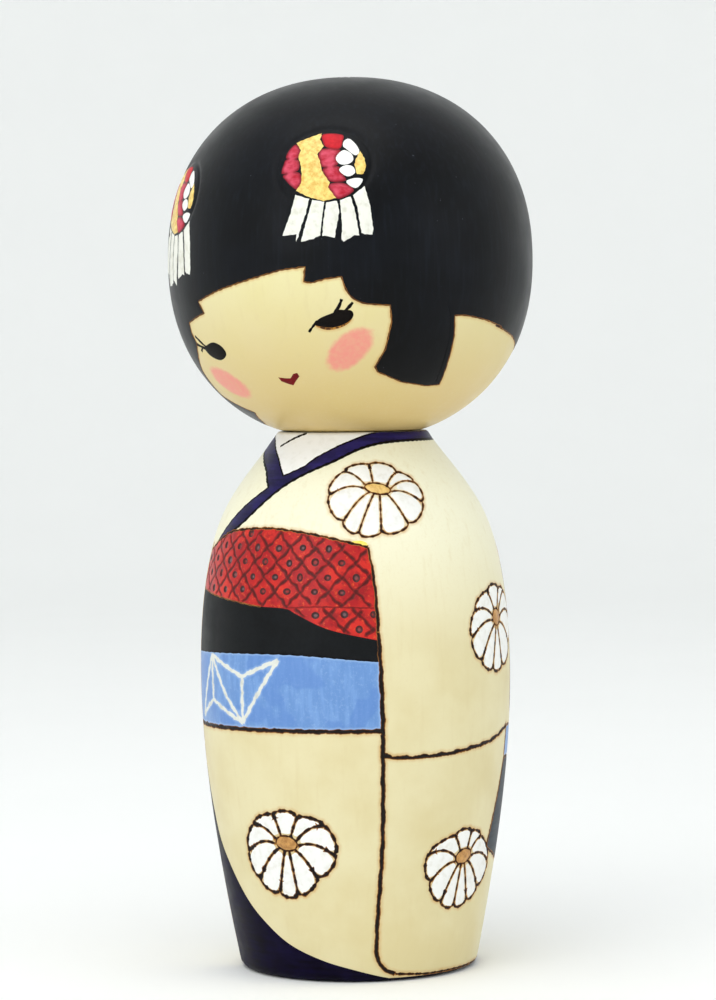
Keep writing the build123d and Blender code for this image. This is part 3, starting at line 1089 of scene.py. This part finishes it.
def draw_collar(shapes):
    """A white collar between two crossed lapels, the long one of which runs round the back of the neck."""
    shapes.area("collar_white", at(COLLAR_WHITE), PAINT_STEP)
    shapes.line("ink_lines", smooth(at(COLLAR_FOLD)), 0.55, 0.3, 50)
    low, end, high = smooth(at(LONG_LAPEL_LOW)), smooth(at(LONG_LAPEL_END)), smooth(at(LONG_LAPEL_HIGH))
    out, inner = smooth(at(RIGHT_LAPEL_OUT)), smooth(at(RIGHT_LAPEL_IN))
    shapes.area("navy_collar", np.vstack([out, inner]), PAINT_STEP)
    shapes.area("navy_collar", np.vstack([low, end, high, at([(SEAM_BEYOND, NECK)])]), PAINT_STEP)
    out = out[out[:, 0] < end[-1, 0]]
    draw_lines(shapes, [
        ("ink_lines", low, 0.05, 0.62, 0.3, 51),
        ("ink_lines", end, 0.05, 0.45, 0.3, 52),
        ("ink_lines", high, 0.05, 0.38, 0.3, 53),
        ("ink_lines", out, 0.05, 0.5, 0.3, 54),
        ("ink_lines", inner, 0.05, 0.36, 0.3, 55),
    ])


OBI_TOP = [(-44.4, 86), (-40, 86.8), (-32, 88.6), (-22, 90.2), (-3, 91), (11, 90.6), (24, 89.6), (34.5, 88.4),
           (42.6, 87.4)]
OBI_SIDE = [(42.6, 87.4), (44.2, 81.8), (45, 76.5), (45.6, 68.7), (46, 64.8), (46.7, 51.2)]
BLACK_TOP = [(-46.8, 78.3), (-40, 77.8), (-14, 76.4), (-2, 75.7), (10.4, 75.4), (15, 74.4), (24, 72.1),
             (31.4, 70.8), (45.6, 69.1)]
BLUE_TOP = [(-47.9, 65.3), (-41, 65.5), (10, 66.4), (46, 65)]
BLUE_LOW = [(-48.7, 50.7), (-40, 50.6), (5.4, 51.1), (46.7, 51.2)]
FOLD_LINE = [(10.4, 75.5), (24, 75.8), (45, 75.5)]
GOLD_MARK = [(36.2, 88.5), (39.5, 88.7), (42.1, 88.2), (42.4, 87.4), (39.3, 87.9)]
CELL = np.array([5.55, 5.85])  # the brocade's diamonds, wide and high
BROCADE_RING = (5.8, 87.3)  # a diamond's middle on the layer above the fold
LOWER_BROCADE_RING = (22.4, 74.3)  # and one on the layer below it
HEMP_LEAF = {"a": (-28.6, 65.3), "b": (-8.5, 61.5), "c": (8.1, 65.2), "d": (-8.7, 52.2), "e": (-27.7, 56.2),
             "f": (-40, 52.4), "m": (-18.4, 57.6)}
HEMP_STROKES = ("ab", "bc", "bd", "cd", "am", "md", "ae", "ef", "ed", "af")


def draw_brocade(shapes, outline, origin, seed):
    """The diamonds of the red brocade inside an outline in chart points, with a ring in every diamond. One
    ring is at the origin."""
    draws = np.random.default_rng(seed)
    low, high = (outline.min(0) - origin) / CELL, (outline.max(0) - origin) / CELL
    rise = high[1] - low[1] + 1
    steps = np.arange(0, rise, 0.07)
    for lean in (1, -1):
        first = np.floor(low[0] - lean * low[1] - rise) - 0.5
        for start in np.arange(first, high[0] + abs(low[1]) + rise + 1):
            up = low[1] - 0.5 + steps
            line = origin + np.stack([start + lean * up, up], 1) * CELL
            line = shaky(line, 0.24, draws.integers(1000), 4.0)
            held = inside(line, outline)
            cuts = np.flatnonzero(np.diff(np.concatenate([[0], held.astype(int), [0]])))
            for begin, end in zip(cuts[::2], cuts[1::2], strict=True):
                if end - begin > 4:
                    seed = draws.integers(1000)
                    shapes.line("obi_brocade_lines", line[begin:end], 0.82, 0.35, seed, wave=4)
    for row in range(int(np.floor(2 * low[1])), int(np.ceil(2 * high[1])) + 1):
        for column in range(int(np.floor(low[0])), int(np.ceil(high[0])) + 1):
            middle = origin + (column + 0.5 * (row % 2), row / 2) * CELL + draws.uniform(-0.2, 0.2, 2)
            dot = middle + ring(*draws.uniform(0.66, 0.9, 2), step=0.4)
            if inside(dot, outline).all():
                shapes.area("obi_brocade_dots", dot, DOT_STEP)


def draw_obi(shapes):
    """The sash: brocade in two layers, the upper one ending in a fold, over a black and a blue band."""
    side, far_side = smooth(at(OBI_SIDE)), smooth(at(mirrored(OBI_SIDE)))
    top = shaky(smooth(at(OBI_TOP)), 0.1, 60)
    black_top, blue_top, blue_low = smooth(at(BLACK_TOP)), smooth(at(BLUE_TOP)), smooth(at(BLUE_LOW))
    fold = smooth(at(FOLD_LINE))
    under_fold = black_top[:, 0] > fold[0, 0]
    beside = (far_side[:, 1] > black_top[0, 1]) & (far_side[:, 1] < top[0, 1])
    over_fold = side[:, 1] > fold[-1, 1]
    upper = [top, side[over_fold], fold[::-1], black_top[~under_fold][::-1], far_side[beside][::-1]]
    lower = [fold, side[~over_fold & (side[:, 1] > black_top[-1, 1])], black_top[under_fold][::-1]]
    for outline, ring_place, seed in ((upper, BROCADE_RING, 61), (lower, LOWER_BROCADE_RING, 62)):
        red = np.vstack(outline)
        shapes.area("obi_red", red, PAINT_STEP)
        draw_brocade(shapes, red, at([ring_place])[0], seed)
    shapes.area("obi_black", np.vstack([black_top, blue_top[::-1]]), BROAD_STEP)
    shapes.area("obi_blue", np.vstack([blue_top, blue_low[::-1]]), PAINT_STEP)
    strokes = [straight(at([HEMP_LEAF[corner] for corner in stroke])) for stroke in HEMP_STROKES]
    hemp_leaf = [("obi_white_lines", stroke, 0.14, 0.8, 0.3, 62 + n) for n, stroke in enumerate(strokes)]
    draw_lines(shapes, hemp_leaf, wave=4)
    draw_lines(shapes, [
        ("obi_brocade_lines", fold, 0.08, 0.4, 0.3, 80),
        ("ink_lines", blue_top, 0.06, 0.3, 0.3, 81),
        ("burnt_lines", black_top[: len(black_top) // 2], 0.06, 0.26, 0.4, 82),
    ])
    shapes.area("obi_gold_mark", smooth(at(GOLD_MARK), closed=True), 0.4)
    shapes.line("burnt_lines", top, 0.55, 0.4, 83, halo=True, wave=4)
    draw_lines(shapes, [("burnt_lines", blue_low, 0.1, 0.95, 0.18, 84)], halo=True, wave=4)


SLEEVE_FRONT = [(46.7, 51.2), (46.6, 49.4), (46.8, 34.4), (46.6, 26), (45.3, 14.2), (44.9, 7.4), (46, 4.3),
                (50, 2.4), (54, 1.6)]
SLEEVE_LOW = 1.0
SLEEVE_WIDTHS = {4: 0.9, 60: 0.98, 87: 0.5}  # the burnt line's width at heights on the sleeve's front edge
CUFF = [(46.9, 46.3), (54, 45.7), (72, 45.9), (85, 46.6), (98, 47.5), (113, 49.6)]
HEM = [(-49, 43), (-42.8, 34.4), (-37.9, 27.8), (-28.7, 21.9), (-18.2, 15.8), (-8.7, 11.8), (4.1, 7.6),
       (20, 4.6), (35.5, 2.6), (51, 0.8)]
RIM = 0.75  # how high the navy paint comes round the foot


def draw_hem(shapes):
    """Navy under the kimono's curved hem, and as a low rim round the rest of the foot."""
    shapes.area("navy_hem", np.vstack([smooth(at(HEM)), at([(53, 0), (-48, 0)])]), BROAD_STEP)
    for start, end in ((46, SEAM_BEYOND), (SEAM, -48)):
        shapes.area("navy_hem", straight_outline(at([(start, 0), (end, 0), (end, RIM), (start, RIM)]), 1.0))


def draw_sleeves(shapes):
    """The burnt lines of the sleeves: their front edges, the line round the foot, and the cuffs."""
    edge = OBI_SIDE + SLEEVE_FRONT[1:]
    levels = at([(45, height) for height in SLEEVE_WIDTHS])[:, 1]
    for line, seed in ((smooth(at(edge)), 90), (smooth(at(mirrored(edge))), 91)):
        width = np.interp(line[:, 1], levels, list(SLEEVE_WIDTHS.values()))
        shapes.line("burnt_lines", shaky(line, 0.12, seed, 5.0), width, 0.13, seed, halo=True, wave=7)
    low = straight(at([(54, 1.6), (71, SLEEVE_LOW), (SEAM_BEYOND, SLEEVE_LOW)]))
    far_low = straight(at([(SEAM, SLEEVE_LOW), (-56, 1.6)]))
    shapes.line("burnt_lines", low, 0.6, 0.4, 92)
    shapes.line("burnt_lines", far_low, 0.6, 0.4, 93)
    cuff, far_cuff = smooth(at(CUFF)), smooth(at(mirrored(CUFF)))
    shapes.line("burnt_lines", shaky(cuff, 0.14, 94, 4.0), 0.85, 0.3, 94, halo=True, blobs=0.5, wave=4)
    for part in BODY.cut_at_seam(far_cuff):
        shapes.line("burnt_lines", part, 0.95, 0.3, 95, halo=True)


BOW = [(124, 51.5), (125, 70), (127, 87), (150, 89.5), (180, 90), (210, 89.5), (233, 87), (235, 70),
       (236, 51.5), (210, 49.5), (180, 49), (150, 49.5)]
BOW_CORD = (67.0, 71.5)
CORD_SIDES = (124.6, 235.4)
BOW_ROLL = 82.5
SASH_BLUE = [(113.5, 49.5), (112.7, 43), (139, 43), (140, 49.5)]
SASH_END = [(112.7, 43), (101.8, 25.2), (123.4, 21.2), (144, 17.5), (139, 43)]
STAR = 12.0  # the hemp-leaf stars on the bow, from corner to corner
STAR_HEIGHT = 58.5
STAR_AZIMUTHS = (140, 160, 180, 200, 220)


def draw_star(shapes, azimuth, height, keep):
    """One hemp-leaf star: a hexagon, its three diagonals, and three short lines in each of its triangles."""
    corners = [(STAR / 2 * sin(k * pi / 3), STAR / 2 * cos(k * pi / 3)) for k in range(6)]
    strokes = []
    for a, b in zip(corners, corners[1:] + corners[:1], strict=True):
        middle = ((a[0] + b[0]) / 3, (a[1] + b[1]) / 3)
        strokes += [[(0, 0), a], [a, b], [(0, 0), middle], [a, middle], [b, middle]]
    for number, stroke in enumerate(strokes):
        line = BODY.near(azimuth, height, straight(stroke))
        line = line[inside(line, keep)]
        if len(line) > 4:
            shapes.line("obi_white_lines", line, 0.5, 0.25, 100 + number)


def draw_bow(shapes):
    """The back of the sash, which the photograph shows only by its edge: a drum bow and two slanting ends."""
    for side in (list, across_back):
        shapes.area("sash_ends", straight_outline(at(side(SASH_END))), BROAD_STEP)
        shapes.area("bow_blue", straight_outline(at(side(SASH_BLUE))), BROAD_STEP)
        draw_lines(shapes, [
            ("burnt_lines", straight(looped(at(side(SASH_END)))), 0.08, 0.6, 0.35, 110),
            ("burnt_lines", straight(looped(at(side(SASH_BLUE)))), 0.08, 0.6, 0.35, 111),
        ], halo=True)
    bow = smooth(at(BOW), closed=True)
    shapes.area("bow_blue", bow, 0.8)
    for azimuth in STAR_AZIMUTHS:
        draw_star(shapes, azimuth, STAR_HEIGHT, bow)
    roll = bow[bow[:, 1] > at([(BACK, BOW_ROLL)])[0, 1]]
    roll = roll[np.argsort(roll[:, 0])]
    shapes.area("obi_red", roll, PAINT_STEP)
    draw_brocade(shapes, roll, at([(BACK, BOW_ROLL + CELL[1] / 2)])[0], 112)
    draw_lines(shapes, [("burnt_lines", straight([roll[0], roll[-1]]), 0.08, 0.5, 0.4, 113)])
    low, high = ([(side, level) for side in CORD_SIDES] for level in BOW_CORD)
    shapes.area("obi_black", straight_outline(at(low + high[::-1])), BROAD_STEP)
    draw_lines(shapes, [("ink_lines", straight(at(edge)), 0.06, 0.35, 0.3, 114) for edge in (low, high)])
    draw_lines(shapes, [("burnt_lines", looped(bow), 0.1, 0.9, 0.3, 115)], halo=True)


# ================================================================ what is painted on the head
FRINGE = [(-15.2, -5.7), (-7.9, -4.9), (1, -4.6), (7.9, -4.4), (12.8, -4.9), (11.8, -7.7), (13.2, -8.3),
          (16.3, -8.2), (19.3, -8.5)]
TEMPLE = [(19.3, -8.5), (19.5, -11.4), (20.4, -13.5), (22.4, -15.1), (26.8, -16.8)]
SIDELOCK = [(26.8, -16.8), (25.9, -20.3), (22.4, -25.8), (18.7, -29), (18.6, -30.4), (21.8, -35.1),
            (25.8, -39.1), (28.7, -40.8), (33.3, -35.2), (37.2, -29.1), (39.2, -23.8)]
SIDELOCK_GROOVE = [(28.4, -39.3), (32.3, -34.4), (36.1, -28.6), (38.1, -23.5), (38.4, -20.5)]
NECK_SIDE = [(39.2, -23.8), (41.9, -25), (46, -28.2), (50.5, -33.8)]
FAR_NECK_SIDE = [(-50.5, -34.5), (-46, -29), (-41.9, -25.6)]
NAPE = [(90, -33.4), (115, -37.6), (140, -42), (160, -45)]  # in longitude and latitude from the face's middle
NAPE_MIDDLE = (177.6, -46.5)
FAR_FRINGE = [(-15.2, -5.7), (-14.1, -8.3), (-16.8, -8.5), (-21.7, -9.1), (-22.2, -11.2), (-21.7, -13.6),
              (-24, -16)]
FAR_SIDELOCK = [(-24, -16), (-28.2, -20), (-28.9, -27), (-22.6, -30.5), (-18.5, -32.8), (-22.5, -37.5),
                (-27.5, -41), (-33.3, -36), (-37.2, -29.5), (-39.2, -24.2)]
ORNAMENTS = {
    # the middle of the ball, how far the ornament leans to the viewer's left below it, and how much longer
    # each strip of its tassel is
    "left": (19.0, 15.0, 0, (0, 0, 0, 0, 0)),
    "right": (-21.6, 18.1, 10, (4.5, 4.5, 3.5, 0.8, 0.5)),
}
BALL = (8.7, 7.9)
CELLS = {
    "red": [
        [(-5.9, 5.7), (-4.9, 4.1), (-5.1, 3), (-5.6, 2.4), (-7.3, 2.8), (-7.6, 3.4), (-7, 4.8)],
        [(-7.5, 2.5), (-5.4, 2.1), (-4.9, 0.9), (-5.4, -0.3), (-8, -0.4), (-8.4, 0.1), (-8, 1.5)],
        [(-8, -0.8), (-5.3, -0.7), (-4.5, -1.9), (-4.6, -3.4), (-5.6, -4.1), (-7.5, -1.9)],
        [(-0.1, 3.7), (3.2, 3.1), (2.4, 1.4), (2.7, -0.2), (0, -0.3), (-0.6, 1.4), (-0.9, 2.4)],
        [(0.1, -0.8), (2.9, -0.8), (3.9, -2.9), (4.3, -3.7), (3.7, -4), (1.4, -3.6), (0.3, -1.9)],
        [(1.5, -4.3), (3.8, -4.6), (5.6, -6.3), (2.6, -7.5), (1, -5.2)],
    ],
    "scarlet": [[(-0.3, 7.4), (3.4, 6.9), (3.6, 5.3), (3.1, 3.6), (0.7, 4.2), (-0.1, 5.5)]],
    "yellow": [
        [(-5.7, 6.1), (-0.7, 7.7), (-0.9, 6.1), (-0.1, 4.3), (-1.3, 2.6), (-0.8, 1), (-0.4, -1.1),
         (1.1, -3.9), (0.7, -4.8), (2.1, -7.3), (-0.3, -7.5), (-3.2, -6.1), (-5.5, -4.4), (-4.4, -3),
         (-4.2, -1.1), (-4.4, 0.8), (-5, 2.6), (-4.6, 4.1)],
        [(7.3, 2.4), (8, 0.8), (8.3, -1.3), (7.8, -2.8), (6.6, -2.7), (6.3, -0.5), (6.6, 0.7)],
    ],
    "white": [
        [(4.1, 5.2), (5.2, 5.6), (7, 2.8), (6.3, 1.7), (4.7, 3.3), (4, 4)],
        [(2.8, 1.8), (4, 2.9), (5.4, 2), (5.8, 0.6), (4.9, -0.2), (3.5, -0.1), (2.7, 0.9)],
        [(3.3, -1.3), (4.4, -0.7), (5.7, -1.1), (6.1, -2.4), (4.9, -3), (3.7, -2.2)],
        [(4.6, -4.1), (6.2, -3.8), (7.5, -4.1), (7, -5.1), (6.1, -5.7), (4.9, -4.9)],
    ],
}
STRIPS = [
    [(-5.8, -5.3), (-3.1, -6.7), (-4.1, -9.6), (-5.3, -11.8), (-6.2, -13.7), (-6.9, -14.7), (-6.5, -13.2),
     (-7.7, -13.1), (-9.4, -12.9), (-7.1, -8.9)],
    [(-2.5, -7), (-0.2, -7.8), (-0.8, -10.2), (-1.9, -14.4), (-3.3, -14.8), (-5.9, -14.9), (-3.6, -9.8)],
    [(0.2, -8), (2.3, -8), (2.5, -10.1), (2, -12), (1.3, -13.9), (0.8, -15.5), (-0.6, -14.8), (-1.5, -14.6),
     (-0.9, -12)],
    [(2.9, -8), (5, -7.5), (5.5, -10.4), (5.6, -12.9), (5.6, -15.9), (4.7, -15.7), (2.4, -16.6), (2, -16.1),
     (2.6, -13.6), (2.8, -10.9)],
    [(5.5, -7.3), (7.9, -5.6), (8.6, -10.1), (8.5, -15.1), (8.1, -16.2), (6.7, -15.9), (6.1, -15.4),
     (6.1, -10.1)],
]
DENT = 0.9  # the pressed ring's distance outside an ornament's ball
DENT_DEPTH = 0.3
DENT_WIDTH = 0.6
HAIR_THICKNESS = 0.09

NEAR_EYE = [(11.2, -16.4), (12.7, -15.5), (15.7, -15.1), (16.8, -14.8), (17.7, -15.1), (19.1, -15.6),
            (19.3, -16.6), (18.4, -17.5), (16.6, -18.0), (14.5, -18.0), (12.5, -17.3)]
FAR_EYE = [(-19, -15.1), (-16.8, -14.5), (-14.5, -14.5), (-12.6, -15.6), (-12, -17.1), (-12.9, -18),
           (-15, -18.4), (-17.2, -17.6), (-18.6, -16.4)]
LASHES = [
    ([(15.8, -15.2), (17.1, -14.2), (18.1, -12.9)], 0.62),
    ([(18, -15.4), (19.3, -14.6), (20, -14.1)], 0.6),
    ([(12, -15.9), (10.6, -16.8), (9.5, -17.6)], 0.5),
    ([(-18.3, -14.9), (-21.2, -12.1)], 0.62),
    ([(-18.4, -15.4), (-22.2, -13.7)], 0.62),
    ([(-20.0, -14.9), (-21.2, -15.6)], 0.5),
]
EYELID = [(11.4, -16.6), (12.3, -17.7), (13.6, -18.3), (15.3, -18.5), (17, -18.3), (18.2, -17.8),
          (18.4, -17.2), (15, -17)]
MOUTH = [(-1.9, -25), (-0.4, -25.6), (0.7, -25.9), (1.9, -25.1), (2.9, -25.1), (2.9, -26), (1.5, -26.8),
         (0.3, -27.6), (-0.6, -27), (-1.8, -26)]


def draw_hair(shapes):
    """The hair is everything above one border round the head. It runs from the nape by the far side, the
    fringe and the near side back to the nape."""
    nape = globe([NAPE_MIDDLE])[0, 1]
    far_nape = globe([(-lon, lat) for lon, lat in NAPE[::-1]])
    far = [(-HEAD.half, nape), far_nape, face(FAR_NECK_SIDE), face(FAR_SIDELOCK[-1:])]
    near = [face(NECK_SIDE[-2:]), globe(NAPE), (HEAD.half, nape)]
    border = np.vstack([
        smooth(np.vstack(far))[:-1],
        straight(face(FAR_SIDELOCK[::-1]))[:-1],
        straight(face(FAR_FRINGE[::-1]))[:-1],
        shaky(straight(face(FRINGE)), 0.09, 120, 1.4)[:-1],
        smooth(face(TEMPLE))[:-1],
        straight(face(SIDELOCK))[:-1],
        smooth(face(NECK_SIDE[:-1]))[:-1],
        smooth(np.vstack(near)),
    ])
    shapes.area("hair", np.vstack([border, (HEAD.half, HEAD.top), (-HEAD.half, HEAD.top)]))
    return border


def grown(outline, by):
    """The outline moved out from its middle by some mm."""
    return outline + unit(outline - outline.mean(0)) * by


def draw_ornament(shapes, side):
    """A patchwork ball with a tassel of five strips."""
    x, y, leaning, longer_strips = ORNAMENTS[side]
    c, s = cos(radians(leaning)), sin(radians(leaning))

    def on_head(points):
        p = np.array(points)
        return face(np.stack([x + c * p[:, 0] + s * p[:, 1], y - s * p[:, 0] + c * p[:, 1]], 1))

    for outline, longer in zip(STRIPS, longer_strips, strict=True):
        strip = shaky(straight(looped(outline), 0.4), 0.07, 130, 1.6)[:-1]
        strip[:, 1] -= longer * np.clip((-BALL[1] - strip[:, 1]) / BALL[1], 0, 1)
        shapes.area(f"ornament_{side}_tassel", on_head(strip), FINE_STEP)
    for kind, outlines in CELLS.items():
        for outline in outlines:
            if kind == "yellow":
                curve = shaky(straight(looped(outline)), 0.08, 131, 1.3)[:-1]
            else:
                curve = smooth(outline, closed=True)
            shapes.area(f"ornament_{side}_{kind}", on_head(grown(curve, 0.14)), FINE_STEP)
    for out in (0.3, 0.6, 0.9, 1.2, 1.6, 2.1):  # rings of points for the dent
        shapes.extra.append((on_head(ring(BALL[0] + out, BALL[1] + out, step=0.45)), HALO_GAP))


def draw_face(shapes, border):
    """Eyes with lashes, the near eye's lid, the mouth, the side lock's groove and the hair's burnt border."""
    shapes.area("head_burnt_lines", face(smooth(EYELID, closed=True)), DOT_STEP)
    for eye in (NEAR_EYE, FAR_EYE):
        shapes.area("eyes", face(smooth(eye, closed=True)), FINE_STEP)
    for number, (lash, width) in enumerate(LASHES):
        shapes.line("eyes", face(smooth(lash)), width, 0.25, 140 + number)
    shapes.area("lips", face(straight_outline(MOUTH)), FINE_STEP)
    shapes.line("hair_groove", face(smooth(SIDELOCK_GROOVE)), 0.4, 0.3, 150)
    shapes.line("head_burnt_lines", border, 0.28, 0.4, 151, halo=True)


def ornament_dents(points):
    """How far the head's wood is lifted off the CAD's ball: it lies a paint film's thickness inside it, and
    is pressed in further round each ornament's ball."""
    lift = np.full(len(points), -HAIR_THICKNESS)
    for x, y, _, _ in ORNAMENTS.values():
        aside = face_places(points) - (x, y)
        reach = np.hypot(aside[:, 0] / (BALL[0] + DENT), aside[:, 1] / (BALL[1] + DENT))
        out = (reach - 1) * (BALL[0] + BALL[1]) / 2
        above_tassel = np.clip((aside[:, 1] + BALL[1]) / 3, 0, 1)
        lift -= DENT_DEPTH * np.exp(-((out / DENT_WIDTH) ** 2)) * above_tassel
    return lift


# ================================================================ the pieces
BODY_LAYERS = {
    "collar_white": Layer(COLLAR, swell=0.02),
    "navy_collar": Layer(NAVY, swell=0.05, reach=0.4),
    "navy_hem": Layer(HEM_NAVY, swell=0.04),
    "obi_red": Layer(BROCADE, swell=0.04, reach=0.4),
    "obi_brocade_lines": Layer(LATTICE, groove=0.12, shoulder=0.2),
    "obi_brocade_dots": Layer(PITS, groove=0.22, shoulder=0.45),
    "obi_black": Layer(BLACK, swell=0.04),
    "obi_blue": Layer(BLUE, swell=0.03),
    "obi_gold_mark": Layer(LEMON, swell=0.04),
    "obi_white_lines": Layer(CHALK, swell=0.1, reach=0.25),
    "bow_blue": Layer(BLUE, swell=0.03),
    "sash_ends": Layer(SLATE, swell=0.04),
    "ink_lines": Layer(INK, groove=0.06, shoulder=0.15),
    "burnt_lines": Layer(BURNT, groove=0.2, film=0.012),
    "daisy_centres": Layer(OCHRE, swell=0.14),
    "daisy_centres_gold": Layer(GOLD, swell=0.14),
}
PETALS = Layer(WHITE, swell=0.13, reach=0.55)
HEAD_LAYERS = {
    "hair": Layer(HAIR, swell=0.06, reach=0.6),
    "hair_groove": Layer(HAIR, groove=0.14, shoulder=0.2),
    "eyes": Layer(INK, swell=0.04, reach=0.3),
    "lips": Layer(LIPS, swell=0.05, reach=0.3),
    "head_burnt_lines": Layer(BURNT, groove=0.12, shoulder=0.2, film=0.012),
}
ORNAMENT_FINISHES = {"tassel": TASSEL, "red": RED, "scarlet": SCARLET, "yellow": YELLOW, "white": WHITE}


def hole(ring_height, end_height, way):
    """The dowel's hole as an outline of (radius, height), from its mouth to its drilled end."""
    return [
        (BORE + HOLE_MOUTH, ring_height), (BORE, ring_height + way * HOLE_MOUTH),
        (BORE, end_height), (0, end_height + way * BORE * DRILL_POINT),
    ]


def make_body():
    shapes = Shapes(BODY)
    for draw in (draw_collar, draw_obi, draw_hem, draw_bow, draw_sleeves):
        draw(shapes)
    layers = dict(BODY_LAYERS)
    daisies = dict(DAISIES)
    for name, (like, azimuth, height) in FAR_DAISIES.items():
        daisies[name] = (azimuth, height, *DAISIES[like][2:])
    for number, (name, facts) in enumerate(daisies.items()):
        label = f"daisy_{name}_petals"
        layers[label] = PETALS
        draw_daisy(shapes, label, *facts, 200 + 50 * number)
    skin = Skin(shapes, layers)
    fields = skin.fields("burnt_lines")
    radii = np.linspace(DISH_RADIUS, CENTRE_MARK, 9)
    dish = [(r, DISH_DEPTH * (1 - (r / DISH_RADIUS) ** 2)) for r in radii]
    wood = skin.add_wood(
        "body_wood", CREAM, fields,
        under=[*dish, (0, dish[-1][1] + CENTRE_MARK)],
        over=hole(NECK, DOWEL_LOW.z - HOLE_END_ROOM, -1),
    )
    return [wood] + [skin.add_film(name, fields) for name in skin.names]


def make_head():
    shapes = Shapes(HEAD)
    border = draw_hair(shapes)
    layers = dict(HEAD_LAYERS)
    for side in ORNAMENTS:
        draw_ornament(shapes, side)
        for kind, finish in ORNAMENT_FINISHES.items():
            layers[f"ornament_{side}_{kind}"] = Layer(finish, swell=0.12, reach=0.45)
    draw_face(shapes, border)
    skin = Skin(shapes, layers, ornament_dents)
    fields = skin.fields("head_burnt_lines")
    under = hole(HEAD_LOW.z, DOWEL_HIGH.z + HOLE_END_ROOM, 1)
    wood = skin.add_wood("head_wood", FACE_SKIN, fields, under)
    return [wood] + [skin.add_film(name, fields) for name in skin.names]


for pieces, body, material_slot in (
    (make_body(), "body", "kimono_painted_wood"),
    (make_head(), "head", "head_painted_wood"),
):
    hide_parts(body)
    for piece in pieces:
        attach(piece, body)
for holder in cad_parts["neck_dowel"].material_slots:
    holder.material = BARE

# ================================================================ floor, light and camera, in metres
FLOOR_FLAT, FLOOR_TURN_UP, FLOOR_WALL = 1.0, 0.6, 1.6
FLOOR_SIDES = 96
LIGHTS = {
    # azimuth, distance and height, the disk's width, its power in watts, and the height it aims at
    "ceiling": (20, 0.35, 1.1, 1.0, 4.2, 0.1),
    "window": (0, 1.1, 0.55, 0.9, 2.5, 0.11),
    "fill": (95, 1.0, 0.4, 0.6, 0.6, 0.09),
}
CAMERA_AZIMUTH = 37.0
CAMERA_DISTANCE = 0.714
CAMERA_HEIGHT = 0.1275
CAMERA_PITCH = 2.57
CAMERA_YAW = 0.077
CAMERA_ROLL = 0.72
CAMERA_LENS = 125.3
SKY = colour(245, 247, 248)
SKY_STRENGTH = 0.83


def stage_bowl():
    """A pale floor that turns up into a low round wall far away, so every view has the same plain ground."""
    f = Finish("pale_studio_floor", roughness=0.7, specular=0.2)
    f.bump(f.noise(4.0), 0.05, 0.2)
    finish = f.done(f.mix(f.noise(60.0), colour(249, 250, 249), colour(252, 253, 252)))
    turns = np.linspace(0, pi / 2, 24)
    profile = [(0.8 * FLOOR_FLAT, 0.0)]
    profile += [(FLOOR_FLAT + FLOOR_TURN_UP * sin(a), FLOOR_TURN_UP * (1 - cos(a))) for a in turns]
    profile.append((FLOOR_FLAT + FLOOR_TURN_UP, FLOOR_WALL))
    points, faces = [(0.0, 0.0, 0.0)], []
    for r, z in profile:
        ways = [2 * pi * k / FLOOR_SIDES for k in range(FLOOR_SIDES)]
        points += [(r * cos(way), r * sin(way), z) for way in ways]
    for k in range(FLOOR_SIDES):
        beyond = (k + 1) % FLOOR_SIDES
        faces.append((0, 1 + k, 1 + beyond))
        for level in range(len(profile) - 1):
            low, high = 1 + level * FLOOR_SIDES, 1 + (level + 1) * FLOOR_SIDES
            faces.append((low + k, high + k, high + beyond, low + beyond))
    mesh = bpy.data.meshes.new("studio_floor")
    mesh.from_pydata(points, [], faces)
    mesh.polygons.foreach_set("use_smooth", np.ones(len(faces), bool))
    mesh.materials.append(finish)
    floor = bpy.data.objects.new("studio_floor", mesh)
    bpy.context.scene.collection.objects.link(floor)


def around(azimuth, distance, height):
    """A place in metres at that azimuth from the doll's front."""
    return Vector((distance * sin(radians(azimuth)), -distance * cos(radians(azimuth)), height))


def add_light(name, azimuth, distance, height, size, power, aim):
    data = bpy.data.lights.new(name, "AREA")
    data.shape = "DISK"
    data.size = size
    data.energy = power
    light = bpy.data.objects.new(name, data)
    light.location = around(azimuth, distance, height)
    light.rotation_euler = (Vector((0, 0, aim)) - light.location).to_track_quat("-Z", "Y").to_euler()
    bpy.context.scene.collection.objects.link(light)


def add_camera():
    data = bpy.data.cameras.new("camera")
    data.lens = CAMERA_LENS
    camera = bpy.data.objects.new("camera", data)
    bpy.context.scene.collection.objects.link(camera)
    place = around(CAMERA_AZIMUTH, CAMERA_DISTANCE, CAMERA_HEIGHT)
    ahead = -around(CAMERA_AZIMUTH - CAMERA_YAW, 1.0, tan(radians(CAMERA_PITCH)))
    look = ahead.to_track_quat("-Z", "Y").to_matrix().to_4x4()
    camera.matrix_world = Matrix.Translation(place) @ look @ Matrix.Rotation(radians(-CAMERA_ROLL), 4, "Z")
    bpy.context.scene.camera = camera


stage_bowl()
for name, facts in LIGHTS.items():
    add_light(name, *facts)
add_camera()
world = bpy.data.worlds.new("studio")
world.use_nodes = True
world.node_tree.nodes["Background"].inputs["Color"].default_value = SKY
world.node_tree.nodes["Background"].inputs["Strength"].default_value = SKY_STRENGTH
bpy.context.scene.world = world
bpy.context.scene.view_settings.view_transform = "Standard"

bpy.context.view_layer.update()
